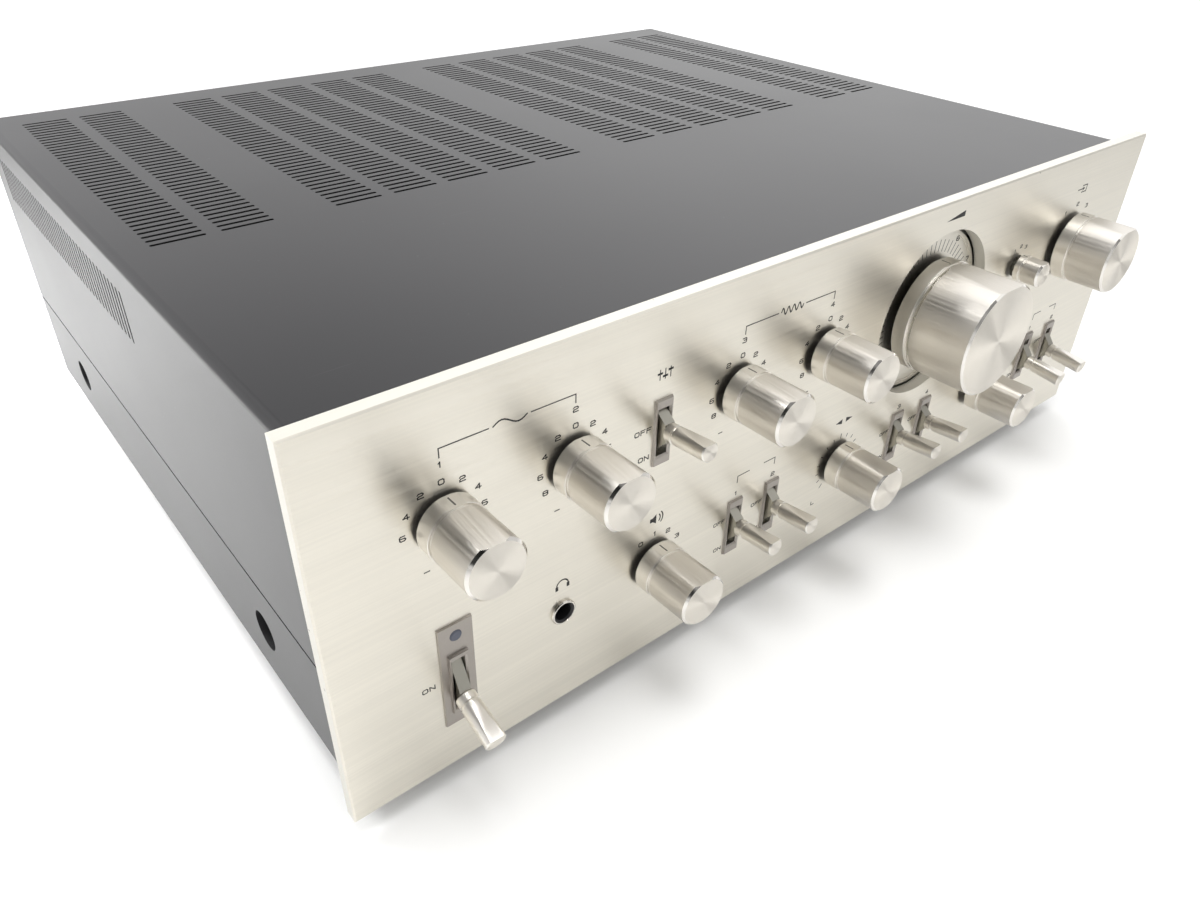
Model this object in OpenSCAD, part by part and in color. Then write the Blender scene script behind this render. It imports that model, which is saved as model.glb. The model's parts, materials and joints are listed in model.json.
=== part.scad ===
// Stereo amplifier: a thick front panel with turned knobs and bat levers on a folded steel case.
// Millimetres, +Z up, front towards -Y. The origin lies on the standing surface, under the
// middle of the whole. Heights named _z count from the lower edge of the front panel.

/* [Front panel] */
// Width of the front panel
panel_w = 420; // [400:1:450]
// Height of the front panel
panel_h = 140.7; // [134:0.1:160]
// Thickness of the front panel
panel_t = 5.1; // [4:0.1:6.5]
// Bevel round the front edge of the panel
panel_bevel = 0.6; // [0.3:0.1:1.2]
// Height of the panel's lower edge above the standing surface
stand_h = 9.3; // [6:0.1:16]

/* [Case] */
// Depth from the front of the panel to the rear edge of the cover
case_d = 336; // [325:1:380]
// How far the panel reaches past the case on each side
side_overhang = 4.1; // [2:0.1:6]
// How far the panel stands above the cover
top_overhang = 4.5; // [2:0.1:6]
// How far the panel reaches below the tray
bottom_overhang = 4; // [2:0.1:6]
// Sheet thickness of the cover, the tray and the rear panel
sheet_t = 1.2; // [0.8:0.1:1.6]
// Outside radius of the folded edges
fold_r = 3; // [2:0.1:5]
// Height of the seam between cover and tray
seam_z = 50; // [46:0.5:56]
// Width of that seam
seam_gap = 1; // [0.5:0.1:2]
// Height of the tray's lip on each side of the seam
lip_h = 10; // [6:0.5:14]
// Gap between the front panel and the front edge of the cover, to lift it off by
cover_gap = 1.2; // [0.3:0.1:2]
// How far the rear panel lies inside the rear edge of the cover
rear_inset = 1; // [0.5:0.1:3]

/* [Vents] */
// Length of a slot in the top
vent_l = 18.8; // [14:0.1:20]
// Length of a slot in the sides
side_vent_l = 19.5; // [14:0.1:24]
// Width of a slot
vent_w = 1.6; // [1.2:0.1:2.4]
// Distance from slot to slot
vent_pitch = 4.28; // [3.6:0.01:6]
// Distance from row to row in the top
vent_row_pitch = 23.9; // [22:0.1:25]
// Distance of the first slots behind the front of the panel
vent_front = 141.5; // [120:0.5:180]
// Distance of the last slots from the rear edge of the cover
vent_rear = 18; // [10:0.5:40]
// Distance of the innermost rows from the middle
vent_inner_x = 21.7; // [14:0.1:24]
// Rows in each inner group
vent_inner_rows = 5; // [3:1:5]
// Distance of the outer groups from the middle
vent_outer_x = 159.8; // [154:0.1:166]
// Rows in each outer group
vent_outer_rows = 2; // [1:1:2]
// Height of the middle of the side slots
side_vent_z = 114; // [104:0.5:116]
// Slots in each bottom vent
floor_vent_count = 12; // [6:1:16]
// Length of a slot in the bottom
floor_vent_l = 48; // [30:1:52]
// Width of a slot in the bottom
floor_vent_w = 4; // [3:0.1:5]

/* [Side cups] */
// Inside radius of the cups for the side screws
cup_r = 7.5; // [6:0.1:9]
// Depth of those cups
cup_depth = 7; // [5:0.5:10]
// Height of the cups
cup_z = 28; // [24:0.5:32]
// Distance of the front cups behind the front of the panel
cup_front = 65.3; // [60:0.5:80]
// Distance of the rear cups from the rear edge of the cover
cup_rear = 55.2; // [45:0.5:65]

/* [Places of the controls] */
// Height of the upper row of knobs
upper_row_z = 99.2; // [96:0.1:104]
// Height of the lower row of knobs
lower_row_z = 41.7; // [39:0.1:44]
// Distance between the two knobs of a pair
pair_pitch = 44.6; // [42:0.1:47]
// Middle of the bass pair
bass_x = -147.6; // [-150:0.1:-145]
// Middle of the treble pair
treble_x = -33.6; // [-36:0.1:-31]
// Volume knob, from the middle
volume_x = 57.5; // [54:0.1:61]
// Height of the volume knob
volume_z = 93.5; // [91:0.1:96]
// Load knob, from the middle
load_x = 117.5; // [115:0.1:120]
// Input knob, from the middle
input_x = 160; // [157:0.1:165]
// Speaker knob, from the middle
speaker_x = -90.5; // [-94:0.1:-87]
// Balance knob, from the middle
balance_x = 10; // [6:0.1:14]
// Mode knob, from the middle
mode_x = 110; // [106:0.1:114]
// Headphone jack, from the middle
jack_x = -130.2; // [-134:0.1:-126]
// Tone lever, from the middle
tone_lever_x = -90.7; // [-93:0.1:-88]
// Height of the tone lever
tone_lever_z = 96.3; // [93:0.1:100]
// Distance between the two levers of a pair
lever_pitch = 20; // [18:0.1:22]
// Middle of the filter levers
filter_x = -40.5; // [-43:0.1:-38]
// Middle of the loudness and muting levers
loudness_x = 58.9; // [56:0.1:62]
// Height of the filter, loudness and muting levers
lever_z = 38.1; // [36:0.1:41]
// Middle of the monitor levers
monitor_x = 160.8; // [157:0.1:165]
// Height of the monitor levers
monitor_z = 44; // [42:0.1:46]
// Power switch, from the middle
power_x = -170.3; // [-173:0.1:-167]
// Height of the power lever
power_z = 37.2; // [35:0.1:39]

/* [Knobs] */
// Radius of the tone and selector knobs
knob_r = 9.8; // [9:0.1:12]
// Reach of those knobs in front of the panel
knob_reach = 25.6; // [22:0.1:30]
// Radius of the input knob
input_knob_r = 15; // [12:0.1:17]
// Radius of the load knob
load_knob_r = 5.8; // [5.6:0.1:7]
// Reach of the load knob in front of the panel
load_reach = 12.8; // [11:0.1:16]
// Radius of the volume knob
volume_knob_r = 23.1; // [20:0.1:25]
// Reach of the volume knob in front of the panel
volume_reach = 29.5; // [26:0.1:34]
// How far the volume knob starts behind the front of the panel
volume_sink = 2.7; // [1.5:0.1:3.2]
// Gap between the panel and the other knobs
knob_gap = 1.7; // [1:0.1:2.5]
// Length of a knob's skirt
skirt_l = 6; // [4.5:0.1:7]
// Length of the load knob's skirt
load_skirt_l = 2.6; // [2:0.1:4]
// Width of the groove between skirt and barrel
groove_w = 0.8; // [0.5:0.1:1.2]
// Depth of that groove
groove_depth = 0.6; // [0.3:0.1:0.8]
// How much smaller the barrel is than the skirt, in radius
barrel_step = 0.25; // [0.1:0.05:0.5]
// Polished bevel round the end of a knob
rim_bevel = 0.8; // [0.4:0.1:1.2]
// Depth of the flat along the barrel, at the skirt
flat_depth = 0.5; // [0.3:0.1:0.8]
// Slope of that flat towards the end, in degrees
flat_slope = 2; // [1:0.1:2.6]
// Width of the pointer slit in the skirt
pointer_w = 0.9; // [0.6:0.1:1.4]
// Depth of the pointer slit
pointer_depth = 0.5; // [0.3:0.1:0.8]
// Thickness of the end wall of a knob
knob_wall = 4; // [3:0.1:5]

/* [Volume recess] */
// Radius of the hole round the volume knob
recess_r = 34.8; // [32:0.1:36]
// Gap round the dial plate
dial_gap = 1.2; // [0.6:0.1:2]

/* [Shafts and bushings] */
// Radius of a control shaft
shaft_r = 3; // [2.5:0.05:3.2]
// Radius of the load control's shaft
load_shaft_r = 2; // [1.8:0.05:2.2]
// Height of the shaft's flat above its axis
shaft_flat = 1.3; // [0.8:0.1:1.5]
// Wall of a bushing
bushing_wall = 1; // [0.8:0.05:1.2]
// Running clearance of shafts and pivot pins
run_fit = 0.05; // [0.03:0.01:0.08]
// Clearance of fixed pieces in their holes
seat_fit = 0.3; // [0.2:0.05:0.5]
// Width of the nuts beyond their bushing, in radius
nut_rim = 2.1; // [1.6:0.1:2.2]
// Thickness of the nuts
nut_t = 2.2; // [1.6:0.1:2.6]
// How far a bushing stands out of its nut
bushing_nose = 0.5; // [0.3:0.1:0.8]
// Radius of the potentiometers
pot_r = 12; // [10:0.5:13]
// Length of the potentiometers
pot_l = 12; // [11:0.5:16]
// Radius of the rotary switches
wafer_r = 15; // [13:0.5:17]
// Length of the rotary switches
wafer_l = 30; // [24:1:36]
// Radius of the volume control
volume_body_r = 19; // [17:0.5:21]
// Length of the volume control
volume_body_l = 26; // [20:1:32]
// Depth of a shaft in its control
shaft_seat = 8; // [6:0.5:9]

/* [Levers] */
// Distance of the lever pivots behind the sub-panel
pivot_back = 3.1; // [2.5:0.1:4]
// Tilt of a lever to either side, in degrees
lever_tilt = 6; // [4:0.5:7]
// Tilt of the power lever to either side, in degrees
power_tilt = 18.5; // [14:0.5:19]
// Thickness of a lever's plate
bat_t = 4; // [3.4:0.1:4.4]
// Half height of the plate in the slot
bat_half = 7.2; // [6:0.1:7.4]
// Half height of the power lever's plate
power_bat_half = 11.8; // [10:0.1:12]
// Half height of the plates at the handle
bat_neck = 3; // [2.5:0.1:3.2]
// Start of the handles in front of the panel
handle_start = 3.9; // [3:0.1:5]
// Length of a handle
handle_l = 17.2; // [14:0.1:20]
// Radius of a handle
handle_r = 3.2; // [2.8:0.1:3.6]
// Length of the power handle
power_handle_l = 17.2; // [14:0.1:20]
// Radius of the power handle
power_handle_r = 3.6; // [3.2:0.1:4]
// Clearance of a lever's plate in its slot, on each side
slot_clear = 0.3; // [0.2:0.05:0.5]
// Clearance at the ends of a slot
slot_end = 1.3; // [0.8:0.1:1.6]
// Border of an escutcheon beside its slot
frame_border = 1.4; // [1.2:0.1:1.8]
// Height of an escutcheon
frame_h = 24.8; // [24.4:0.1:27]
// How far an escutcheon stands out of the panel
frame_proud = 1; // [0.6:0.1:1.6]
// Draft of an escutcheon's sides
frame_draft = 0.4; // [0.2:0.1:0.6]
// Width of the power plate
power_plate_w = 12.1; // [11:0.1:14]
// Height of the power plate
power_plate_h = 41.7; // [40:0.1:46]
// How far the power plate reaches below its escutcheon
power_plate_foot = 5.2; // [3:0.1:6]
// Thickness of the power plate
power_plate_t = 0.8; // [0.5:0.1:1.2]
// Height of the lamp above the power lever
lamp_rise = 19.4; // [18:0.1:20.4]
// Radius of the lamp
lamp_r = 2.05; // [1.8:0.05:2.3]

/* [Headphone jack] */
// Radius of the jack's bore
jack_r = 3.2; // [3.175:0.005:3.3]
// Radius of the jack's ring
jack_ring_r = 4.6; // [4.5:0.1:5]
// How far the ring stands out of the panel
jack_ring_t = 1; // [0.6:0.1:1.4]
// Depth of the jack's body behind the sub-panel
jack_body_l = 24; // [20:1:30]

/* [Inside] */
// Thickness of the sub-panel
sub_t = 1.6; // [1.2:0.1:2]
// Distance of the sub-panel behind the front panel
sub_gap = 1.6; // [1.4:0.1:2]
// Height of the posts under the boards
post_h = 8; // [6:0.5:12]
// Thickness of the boards
board_t = 1.6; // [1.2:0.1:2.4]
// Width of the transformer's core
core_w = 96; // [84:1:104]
// Height of the transformer's core
core_h = 80; // [70:1:90]
// Stack of the transformer's core
core_stack = 46; // [36:1:56]
// Radius of the filter capacitors
can_r = 18; // [15:0.5:20]
// Height of the filter capacitors
can_h = 82; // [60:1:95]
// Height of the heat sinks
sink_h = 88; // [70:1:100]
// Length of the heat sinks
sink_l = 116; // [100:1:124]
// Thickness of the heat sinks' plates
sink_t = 5; // [4:0.5:7]
// Length of their fins
fin_l = 24; // [18:0.5:28]
// Thickness of their fins
fin_t = 1.8; // [1.4:0.1:2.4]
// Fins on each heat sink
fin_count = 13; // [9:1:15]
// Distance of the heat sinks' plates from the middle
sink_x = 62; // [58:1:68]
// Distance of the heat sinks' rear end from the rear panel
sink_rear = 22; // [18:1:30]

/* [Rear] */
// How far the speaker terminals stand out behind the cover
terminal_reach = 14; // [11:0.5:18]
// Distance between the speaker terminals
terminal_pitch = 13; // [12:0.5:14]
// Speaker terminals in the block
terminal_count = 8; // [4:4:8]
// Middle of the terminal block
terminal_x = -95; // [-100:1:-90]
// Distance between the input jacks of a row
input_pitch = 15; // [14:0.5:16]
// Input jacks in a row
input_count = 9; // [6:1:10]
// Middle of the input jacks
inputs_x = 108; // [100:1:112]
// Distance between the two rows of input jacks
input_row_pitch = 19; // [17:0.5:22]
// Height of the fittings on the rear panel
rear_fittings_z = 84; // [76:1:90]
// Radius of the cord bushing's collar
bushing_collar_r = 9; // [8:0.5:11]
// Distance of the cord bushing from the side of the case
bushing_side = 21.9; // [18:0.1:26]

/* [Feet] */
// Radius of a foot at the tray
foot_r = 16; // [12:0.5:20]
// Radius of a foot at the standing surface
foot_base_r = 14; // [10:0.5:18]
// Distance of the feet from the sides of the case
foot_side = 34; // [26:1:60]
// Distance of the front feet behind the front of the panel
foot_front = 42; // [34:1:60]
// Distance of the rear feet from the rear edge of the cover
foot_rear = 38; // [28:1:60]

/* [Hidden] */

$fn = 64;

// Small overlap that makes a cut run clear through, or two shapes of one piece join.
eps = 0.5;

// Depths behind the front of the panel.
sub_front = panel_t + sub_gap;
mount_d = sub_front + sub_t;
rear_d = case_d - rear_inset;
rear_inner_d = rear_d - sheet_t;

// Front of the panel along Y, with the whole centred on the origin.
face_y = -(case_d + terminal_reach - volume_reach) / 2;

// Widths and heights of the case.
case_w = panel_w - 2 * side_overhang;
inner_w = case_w - 2 * sheet_t;
lip_x = inner_w / 2 - sheet_t;
cover_top_z = panel_h - top_overhang;
ceiling_z = cover_top_z - sheet_t;
floor_z = bottom_overhang + sheet_t;
foot_h = stand_h + bottom_overhang;
wall_gap = 0.5;
sub_w = 2 * (lip_x - wall_gap);

// Rows of slots along the case.
vent_last = case_d - vent_rear;
vent_count = floor((vent_last - vent_front) / vent_pitch) + 1;
floor_vent_pitch = sink_l / floor_vent_count;

// Seats that the rotary controls share.
nut_clear = 0.6;
bushing_r = shaft_r + bushing_wall;
load_bushing_r = load_shaft_r + bushing_wall;
nut_r = bushing_r + nut_rim;
load_nut_r = load_bushing_r + nut_rim / 2;
shaft_end_gap = 0.3;
well_clear = 1;
volume_well_r = nut_r + well_clear;
volume_well = nut_t + bushing_nose + well_clear;
lug_w = 2;
lug_t = 0.8;
lug_l = 6;

// Lever pivots and frames behind the sub-panel.
pivot_depth = mount_d + pivot_back;
lever_neck = pivot_depth + handle_start;
pin_r = 1.2;
cheek_gap = 0.35;
cheek_t = 1.2;
cheek_x = bat_t / 2 + cheek_gap;
switch_half = 9;
power_switch_half = 15;
switch_well = 9;
switch_body_l = 20;
switch_body_w = 11;
lever_hub_r = 2.6;
tail_l = 6;
tail_half = 1.1;
tail_clear = 0.5;
tail_end = lever_hub_r + tail_l;
tail_slot_h = 2 * (tail_half + tail_end * sin(power_tilt) + tail_clear);
stem_r = 1.6;
stem_l = 11;
slot_wall = 0.6;
frame_bevel = 0.6;
slot_w = bat_t + 2 * slot_clear;
slot_h = 2 * (bat_sweep(lever_tilt) + slot_end);
power_slot_h = 2 * (bat_sweep(power_tilt) + slot_end);
frame_w = slot_w + 2 * frame_border;
panel_slot_w = frame_w - 2 * slot_wall;
panel_slot_h = frame_h - 2 * slot_wall;
power_panel_slot_h = frame_h - slot_wall;
switch_rim = 0.5;
sub_slot_h = 2 * (switch_half - switch_rim);
power_sub_slot_h = 2 * (power_switch_half - switch_rim);
power_plate_z = power_z - frame_h / 2 - power_plate_foot + power_plate_h / 2;
lamp_at = [power_x, power_z + lamp_rise];

// Half height that the sloping edge of a lever's plate sweeps at the front of the panel, for a tilt.
function bat_sweep(tilt) =
    let (edge = bat_neck + lever_neck, u = (pivot_depth + edge * sin(tilt)) / (cos(tilt) + sin(tilt)))
    (edge - u) * cos(tilt) + u * sin(tilt);

// Transformer, capacitors and boards.
core_x = -118;
core_front = 62;
core_foot = 12;
core_foot_t = 2;
limb_w = core_w / 4;
window_h = core_h - 2 * limb_w / 2;
coil_bulge = 15;
coil_gap = 0.4;
can_x = [-34, 14];
can_front = 92;
can_bead_drop = 5;
can_bead_r = 1;
sink_front = rear_inner_d - sink_rear - sink_l;
transistor_r = 12.5;
transistor_ear = 19.5;
transistor_flange = 2;
transistor_cap_r = 9.5;
transistor_cap_h = 7;
transistor_places = [0.27, 0.73];
transistor_rise = 48;
board_clear = 14;
board_inset = 8;
amp_board_w = 2 * (sink_x - board_clear);
amp_board_l = sink_l - 2 * board_inset;
amp_board_front = sink_front + board_inset;
equalizer_w = 84;
equalizer_l = 70;
equalizer_x = lip_x - board_inset - equalizer_w / 2;
equalizer_rear = 26;
equalizer_front = rear_inner_d - equalizer_rear - equalizer_l;
post_r = 4;
post_inset = 6;
board_rows = 4;
amp_part_r = 6;
amp_part_h = 26;
equalizer_part_r = 4;
equalizer_part_h = 14;

// Screws.
screw_head_r = 4;
screw_head_h = 2.4;
screw_shank_r = 1.9;
screw_shank_l = 6;
screw_slot_half = 0.5;
rear_screw_inset = 10;
rear_tab_w = 16;

// Fittings on the rear panel.
thread_l = 8;
input_thread_r = 3.2;
input_flange_r = 6;
input_flange_h = 1.6;
input_sleeve_r = 4.15;
input_sleeve_h = 10.5;
input_pin_r = 1.6;
input_pin_depth = 8.5;
ground_thread_r = 2;
ground_flange_r = 4.6;
ground_flange_h = 2.8;
ground_nut_r = 3.6;
ground_nut_h = 8;
ground_post_l = 10;
ground_at = [inputs_x - (input_count + 1) / 2 * input_pitch, rear_fittings_z - input_row_pitch / 2];
terminal_screw_r = 2.5;
terminal_head_r = 4.2;
terminal_head_h = 3;
terminal_base = 6;
terminal_h = 26;
fence_t = 1.6;
cord_bore_r = 4;
cord_neck_r = bushing_collar_r - 2.5;
cord_collar_h = 5;
bushing_at = [bushing_side - case_w / 2, floor_z + 2 * rear_screw_inset + bushing_collar_r];

// Places of the controls, as [x, z].
bass_low_at = [bass_x - pair_pitch / 2, upper_row_z];
bass_high_at = [bass_x + pair_pitch / 2, upper_row_z];
treble_low_at = [treble_x - pair_pitch / 2, upper_row_z];
treble_high_at = [treble_x + pair_pitch / 2, upper_row_z];
volume_at = [volume_x, volume_z];
load_at = [load_x, upper_row_z];
input_at = [input_x, upper_row_z];
speaker_at = [speaker_x, lower_row_z];
balance_at = [balance_x, lower_row_z];
mode_at = [mode_x, lower_row_z];
jack_at = [jack_x, lower_row_z];
power_at = [power_x, power_z];
tone_at = [tone_lever_x, tone_lever_z];
low_filter_at = [filter_x - lever_pitch / 2, lever_z];
high_filter_at = [filter_x + lever_pitch / 2, lever_z];
loudness_at = [loudness_x - lever_pitch / 2, lever_z];
muting_at = [loudness_x + lever_pitch / 2, lever_z];
monitor_1_at = [monitor_x - lever_pitch / 2, monitor_z];
monitor_2_at = [monitor_x + lever_pitch / 2, monitor_z];

pots_at = [bass_low_at, bass_high_at, treble_low_at, treble_high_at, balance_at];
switches_at = [speaker_at, input_at, mode_at];
levers_at = [
    tone_at, low_filter_at, high_filter_at, loudness_at, muting_at, monitor_1_at, monitor_2_at
];

panel_colour = "#d9d4c6";
cover_colour = "#46464a";
tray_colour = "#3c3c40";
steel_colour = "#b9bbbd";
knob_colour = "#dcd8d0";
frame_colour = "#8b847d";
bat_colour = "#a9a89c";
black_colour = "#222225";
brass_colour = "#c9a85a";
board_colour = "#8a6a3c";
lamp_colour = "#7f8a9c";

// Axes and shared shapes

// A place on the front panel, by x and z: +Z towards the viewer from the panel's front, +Y up.
module on_front(at) {
    translate([at.x, face_y, stand_h + at.y]) rotate([90, 0, 0]) children();
}

// A place on the rear panel: +Z out of its outer face, +Y up.
module on_rear(at) {
    translate([at.x, face_y + rear_d, stand_h + at.y]) rotate([90, 0, 180]) children();
}

// A flat shape given in Y and Z, extruded along X about the middle.
module along_x(w) {
    translate([-w / 2, 0, 0]) rotate([90, 0, 90]) linear_extrude(w) children();
}

// A flat shape given in X and Z, extruded along Y from d1 to d2 behind the front of the panel.
module along_depth(d1, d2) {
    translate([0, face_y + d2, stand_h]) rotate([90, 0, 0]) linear_extrude(d2 - d1) children();
}

// A box given by its middle in X and Z, its size, and its depths behind the front of the panel.
module panel_box(at, size, d1, d2) {
    on_front(at) translate([-size.x / 2, -size.y / 2, -d2]) cube([size.x, size.y, d2 - d1]);
}

// A round bar between two depths behind the front of the panel.
module panel_bar(at, r, d1, d2) {
    on_front(at) translate([0, 0, -d2]) cylinder(r = r, h = d2 - d1);
}

// A rectangle from z1 to z2 whose upper corners are rounded.
module arch(w, z1, z2, r) {
    translate([-w / 2, z1]) square([w, z2 - r - z1]);
    translate([-w / 2 + r, z2 - r - eps]) square([w - 2 * r, r + eps]);
    for (side = [-1, 1]) translate([side * (w / 2 - r), z2 - r]) circle(r);
}

// A slot with round ends along X.
module slot(l, w) {
    square([l - w, w], center = true);
    for (side = [-1, 1]) translate([side * (l - w) / 2, 0]) circle(w / 2);
}

// A rectangle at z1 that draws in by draft on every side to z2.
module drafted_block(w, h, z1, z2, draft) {
    intersection() {
        rotate([90, 0, 0]) translate([0, 0, -h / 2]) linear_extrude(h)
            polygon([[-w / 2, z1], [w / 2, z1], [w / 2 - draft, z2], [draft - w / 2, z2]]);
        along_x(w)
            polygon([[-h / 2, z1], [h / 2, z1], [h / 2 - draft, z2], [draft - h / 2, z2]]);
    }
}

// A round profile with a flat above its axis.
module shaft_section(r, flat) {
    intersection() {
        circle(r);
        translate([-r, -r]) square([2 * r, r + flat]);
    }
}

// Case

module panel_blank() {
    near = face_y + panel_bevel;
    far = face_y + panel_t;
    intersection() {
        along_x(panel_w) polygon([
            [near, stand_h], [face_y, stand_h + panel_bevel],
            [face_y, stand_h + panel_h - panel_bevel], [near, stand_h + panel_h],
            [far, stand_h + panel_h], [far, stand_h]
        ]);
        translate([0, 0, stand_h - eps]) linear_extrude(panel_h + 2 * eps) polygon([
            [-panel_w / 2, near], [panel_bevel - panel_w / 2, face_y],
            [panel_w / 2 - panel_bevel, face_y], [panel_w / 2, near],
            [panel_w / 2, far], [-panel_w / 2, far]
        ]);
    }
}

module faceplate() {
    color(panel_colour) difference() {
        panel_blank();
        for (at = concat(pots_at, switches_at)) panel_bar(at, nut_r + nut_clear, -eps, panel_t + eps);
        panel_bar(load_at, load_nut_r + nut_clear, -eps, panel_t + eps);
        panel_bar(volume_at, recess_r, -eps, panel_t + eps);
        panel_bar(jack_at, jack_r + bushing_wall + seat_fit, -eps, panel_t + eps);
        panel_bar(lamp_at, lamp_r + seat_fit, -eps, panel_t + eps);
        for (at = levers_at) panel_box(at, [panel_slot_w, panel_slot_h], -eps, panel_t + eps);
        panel_box(power_at, [panel_slot_w, power_panel_slot_h], -eps, panel_t + eps);
    }
}

// Slots of one row, spaced along the case.
module vent_row(l) {
    for (i = [0 : vent_count - 1]) translate([0, vent_front + i * vent_pitch]) slot(l, vent_w);
}

module top_vents() {
    translate([0, face_y, stand_h + ceiling_z - eps]) linear_extrude(sheet_t + 2 * eps)
        for (side = [-1, 1]) {
            for (i = [0 : vent_inner_rows - 1])
                translate([side * (vent_inner_x + i * vent_row_pitch), 0]) vent_row(vent_l);
            for (i = [0 : vent_outer_rows - 1])
                translate([side * (vent_outer_x + i * vent_row_pitch), 0]) vent_row(vent_l);
        }
}

module side_vents() {
    for (side = [-1, 1])
        translate([side * (case_w - sheet_t) / 2, face_y, stand_h + side_vent_z]) rotate([0, 90, 0])
            translate([0, 0, -sheet_t / 2 - eps]) linear_extrude(sheet_t + 2 * eps) vent_row(side_vent_l);
}

// Tabs that carry the rear panel's screws, folded from the sheet whose inner face lies at height z.
module rear_tabs(z, rise) {
    tab_h = 2 * rear_screw_inset + sheet_t / 2;
    tab_z = z + rise * (rear_screw_inset - sheet_t / 4);
    difference() {
        for (side = [-1, 1])
            panel_box([side * (lip_x - rear_screw_inset), tab_z], [rear_tab_w, tab_h],
                rear_inner_d - sheet_t, rear_inner_d);
        for (at = rear_screws())
            panel_bar(at, screw_shank_r + seat_fit, rear_inner_d - 2 * sheet_t, rear_d);
    }
}

module top_cover() {
    low = seam_z + seam_gap / 2;
    color(cover_colour) difference() {
        along_depth(panel_t + cover_gap, case_d) difference() {
            arch(case_w, low, cover_top_z, fold_r);
            arch(inner_w, low - eps, ceiling_z, fold_r - sheet_t);
        }
        top_vents();
        side_vents();
    }
    color(cover_colour) rear_tabs(ceiling_z, -1);
}

// Folded outline of the tray: floor, sides, and the lip that the cover slides over.
module tray_outline() {
    top = seam_z - seam_gap / 2;
    mirror([0, 1]) difference() {
        arch(case_w, -top, -bottom_overhang, fold_r);
        arch(inner_w, -top - eps, -floor_z, fold_r - sheet_t);
    }
    for (side = [-1, 1])
        translate([side * (lip_x + sheet_t / 2) - sheet_t / 2, seam_z - lip_h])
            square([sheet_t, 2 * lip_h]);
}

// The two cup depths behind the front of the panel.
function cup_depths() = [cup_front, case_d - cup_rear];

// A shape on each side wall at each cup, with +Z into the case from the outer face.
module at_cups() {
    for (d = cup_depths(), side = [-1, 1])
        translate([side * case_w / 2, face_y + d, stand_h + cup_z]) rotate([0, -side * 90, 0]) children();
}

// Posts under a board, at its four corners.
module board_posts(x, front, w, l) {
    for (sx = [-1, 1], d = [front + post_inset, front + l - post_inset])
        translate([x + sx * (w / 2 - post_inset), face_y + d, stand_h + floor_z - sheet_t / 2])
            cylinder(r = post_r, h = post_h + sheet_t / 2);
}

module floor_vents() {
    for (side = [-1, 1], i = [0 : floor_vent_count - 1])
        translate([side * (sink_x + fin_l), face_y + sink_front + (i + 0.5) * floor_vent_pitch,
            stand_h + bottom_overhang - eps])
            linear_extrude(sheet_t + 2 * eps) slot(floor_vent_l, floor_vent_w);
}

module bottom_tray() {
    color(tray_colour) difference() {
        union() {
            along_depth(panel_t, case_d) tray_outline();
            at_cups() cylinder(r = cup_r + sheet_t, h = cup_depth + sheet_t);
            board_posts(0, amp_board_front, amp_board_w, amp_board_l);
            board_posts(equalizer_x, equalizer_front, equalizer_w, equalizer_l);
        }
        at_cups() translate([0, 0, -eps]) cylinder(r = cup_r, h = cup_depth + eps);
        at_cups() cylinder(r = screw_shank_r + seat_fit, h = cup_depth + 2 * sheet_t);
        floor_vents();
    }
    color(tray_colour) rear_tabs(floor_z, 1);
}

// Sub-panel with its upper and lower edges folded towards the front panel.
module front_chassis() {
    low = stand_h + floor_z;
    high = stand_h + ceiling_z - wall_gap;
    near = face_y + panel_t;
    front = face_y + sub_front;
    back = face_y + mount_d;
    color(steel_colour) difference() {
        along_x(sub_w) polygon([
            [near, low], [back, low], [back, high], [near, high],
            [near, high - sub_t], [front, high - sub_t], [front, low + sub_t], [near, low + sub_t]
        ]);
        for (at = concat(pots_at, switches_at, [volume_at]))
            panel_bar(at, bushing_r + seat_fit, panel_t, mount_d + eps);
        panel_bar(load_at, load_bushing_r + seat_fit, panel_t, mount_d + eps);
        panel_bar(jack_at, jack_r + bushing_wall + seat_fit, panel_t, mount_d + eps);
        panel_bar(lamp_at, lamp_r + seat_fit, panel_t, mount_d + eps);
        for (at = levers_at) panel_box(at, [2 * cheek_x, sub_slot_h], panel_t, mount_d + eps);
        panel_box(power_at, [2 * cheek_x, power_sub_slot_h], panel_t, mount_d + eps);
    }
}

// The rear panel's screws, as [x, z].
function rear_screws() = [
    for (side = [-1, 1], z = [floor_z + rear_screw_inset, ceiling_z - rear_screw_inset])
        [side * (lip_x - rear_screw_inset), z]
];

// Input jacks in two rows, as [x, z].
function inputs_at() = [
    for (i = [0 : input_count - 1], row = [-1, 1])
        [inputs_x + (i - (input_count - 1) / 2) * input_pitch,
            rear_fittings_z + row * input_row_pitch / 2]
];

// The speaker terminals, as [x, z].
function terminals_at() = [
    for (i = [0 : terminal_count - 1])
        [terminal_x + (i - (terminal_count - 1) / 2) * terminal_pitch, rear_fittings_z]
];

module rear_panel() {
    color(cover_colour) difference() {
        along_depth(rear_inner_d, rear_d)
            translate([-sub_w / 2, floor_z]) square([sub_w, ceiling_z - wall_gap - floor_z]);
        for (at = rear_screws()) panel_bar(at, screw_shank_r + seat_fit, rear_inner_d - eps, rear_d + eps);
        for (at = inputs_at()) panel_bar(at, input_thread_r + seat_fit, rear_inner_d - eps, rear_d + eps);
        panel_bar(ground_at, ground_thread_r + seat_fit, rear_inner_d - eps, rear_d + eps);
        for (at = terminals_at())
            panel_bar(at, terminal_screw_r + seat_fit, rear_inner_d - eps, rear_d + eps);
        panel_bar(bushing_at, cord_neck_r + seat_fit, rear_inner_d - eps, rear_d + eps);
    }
}

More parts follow.
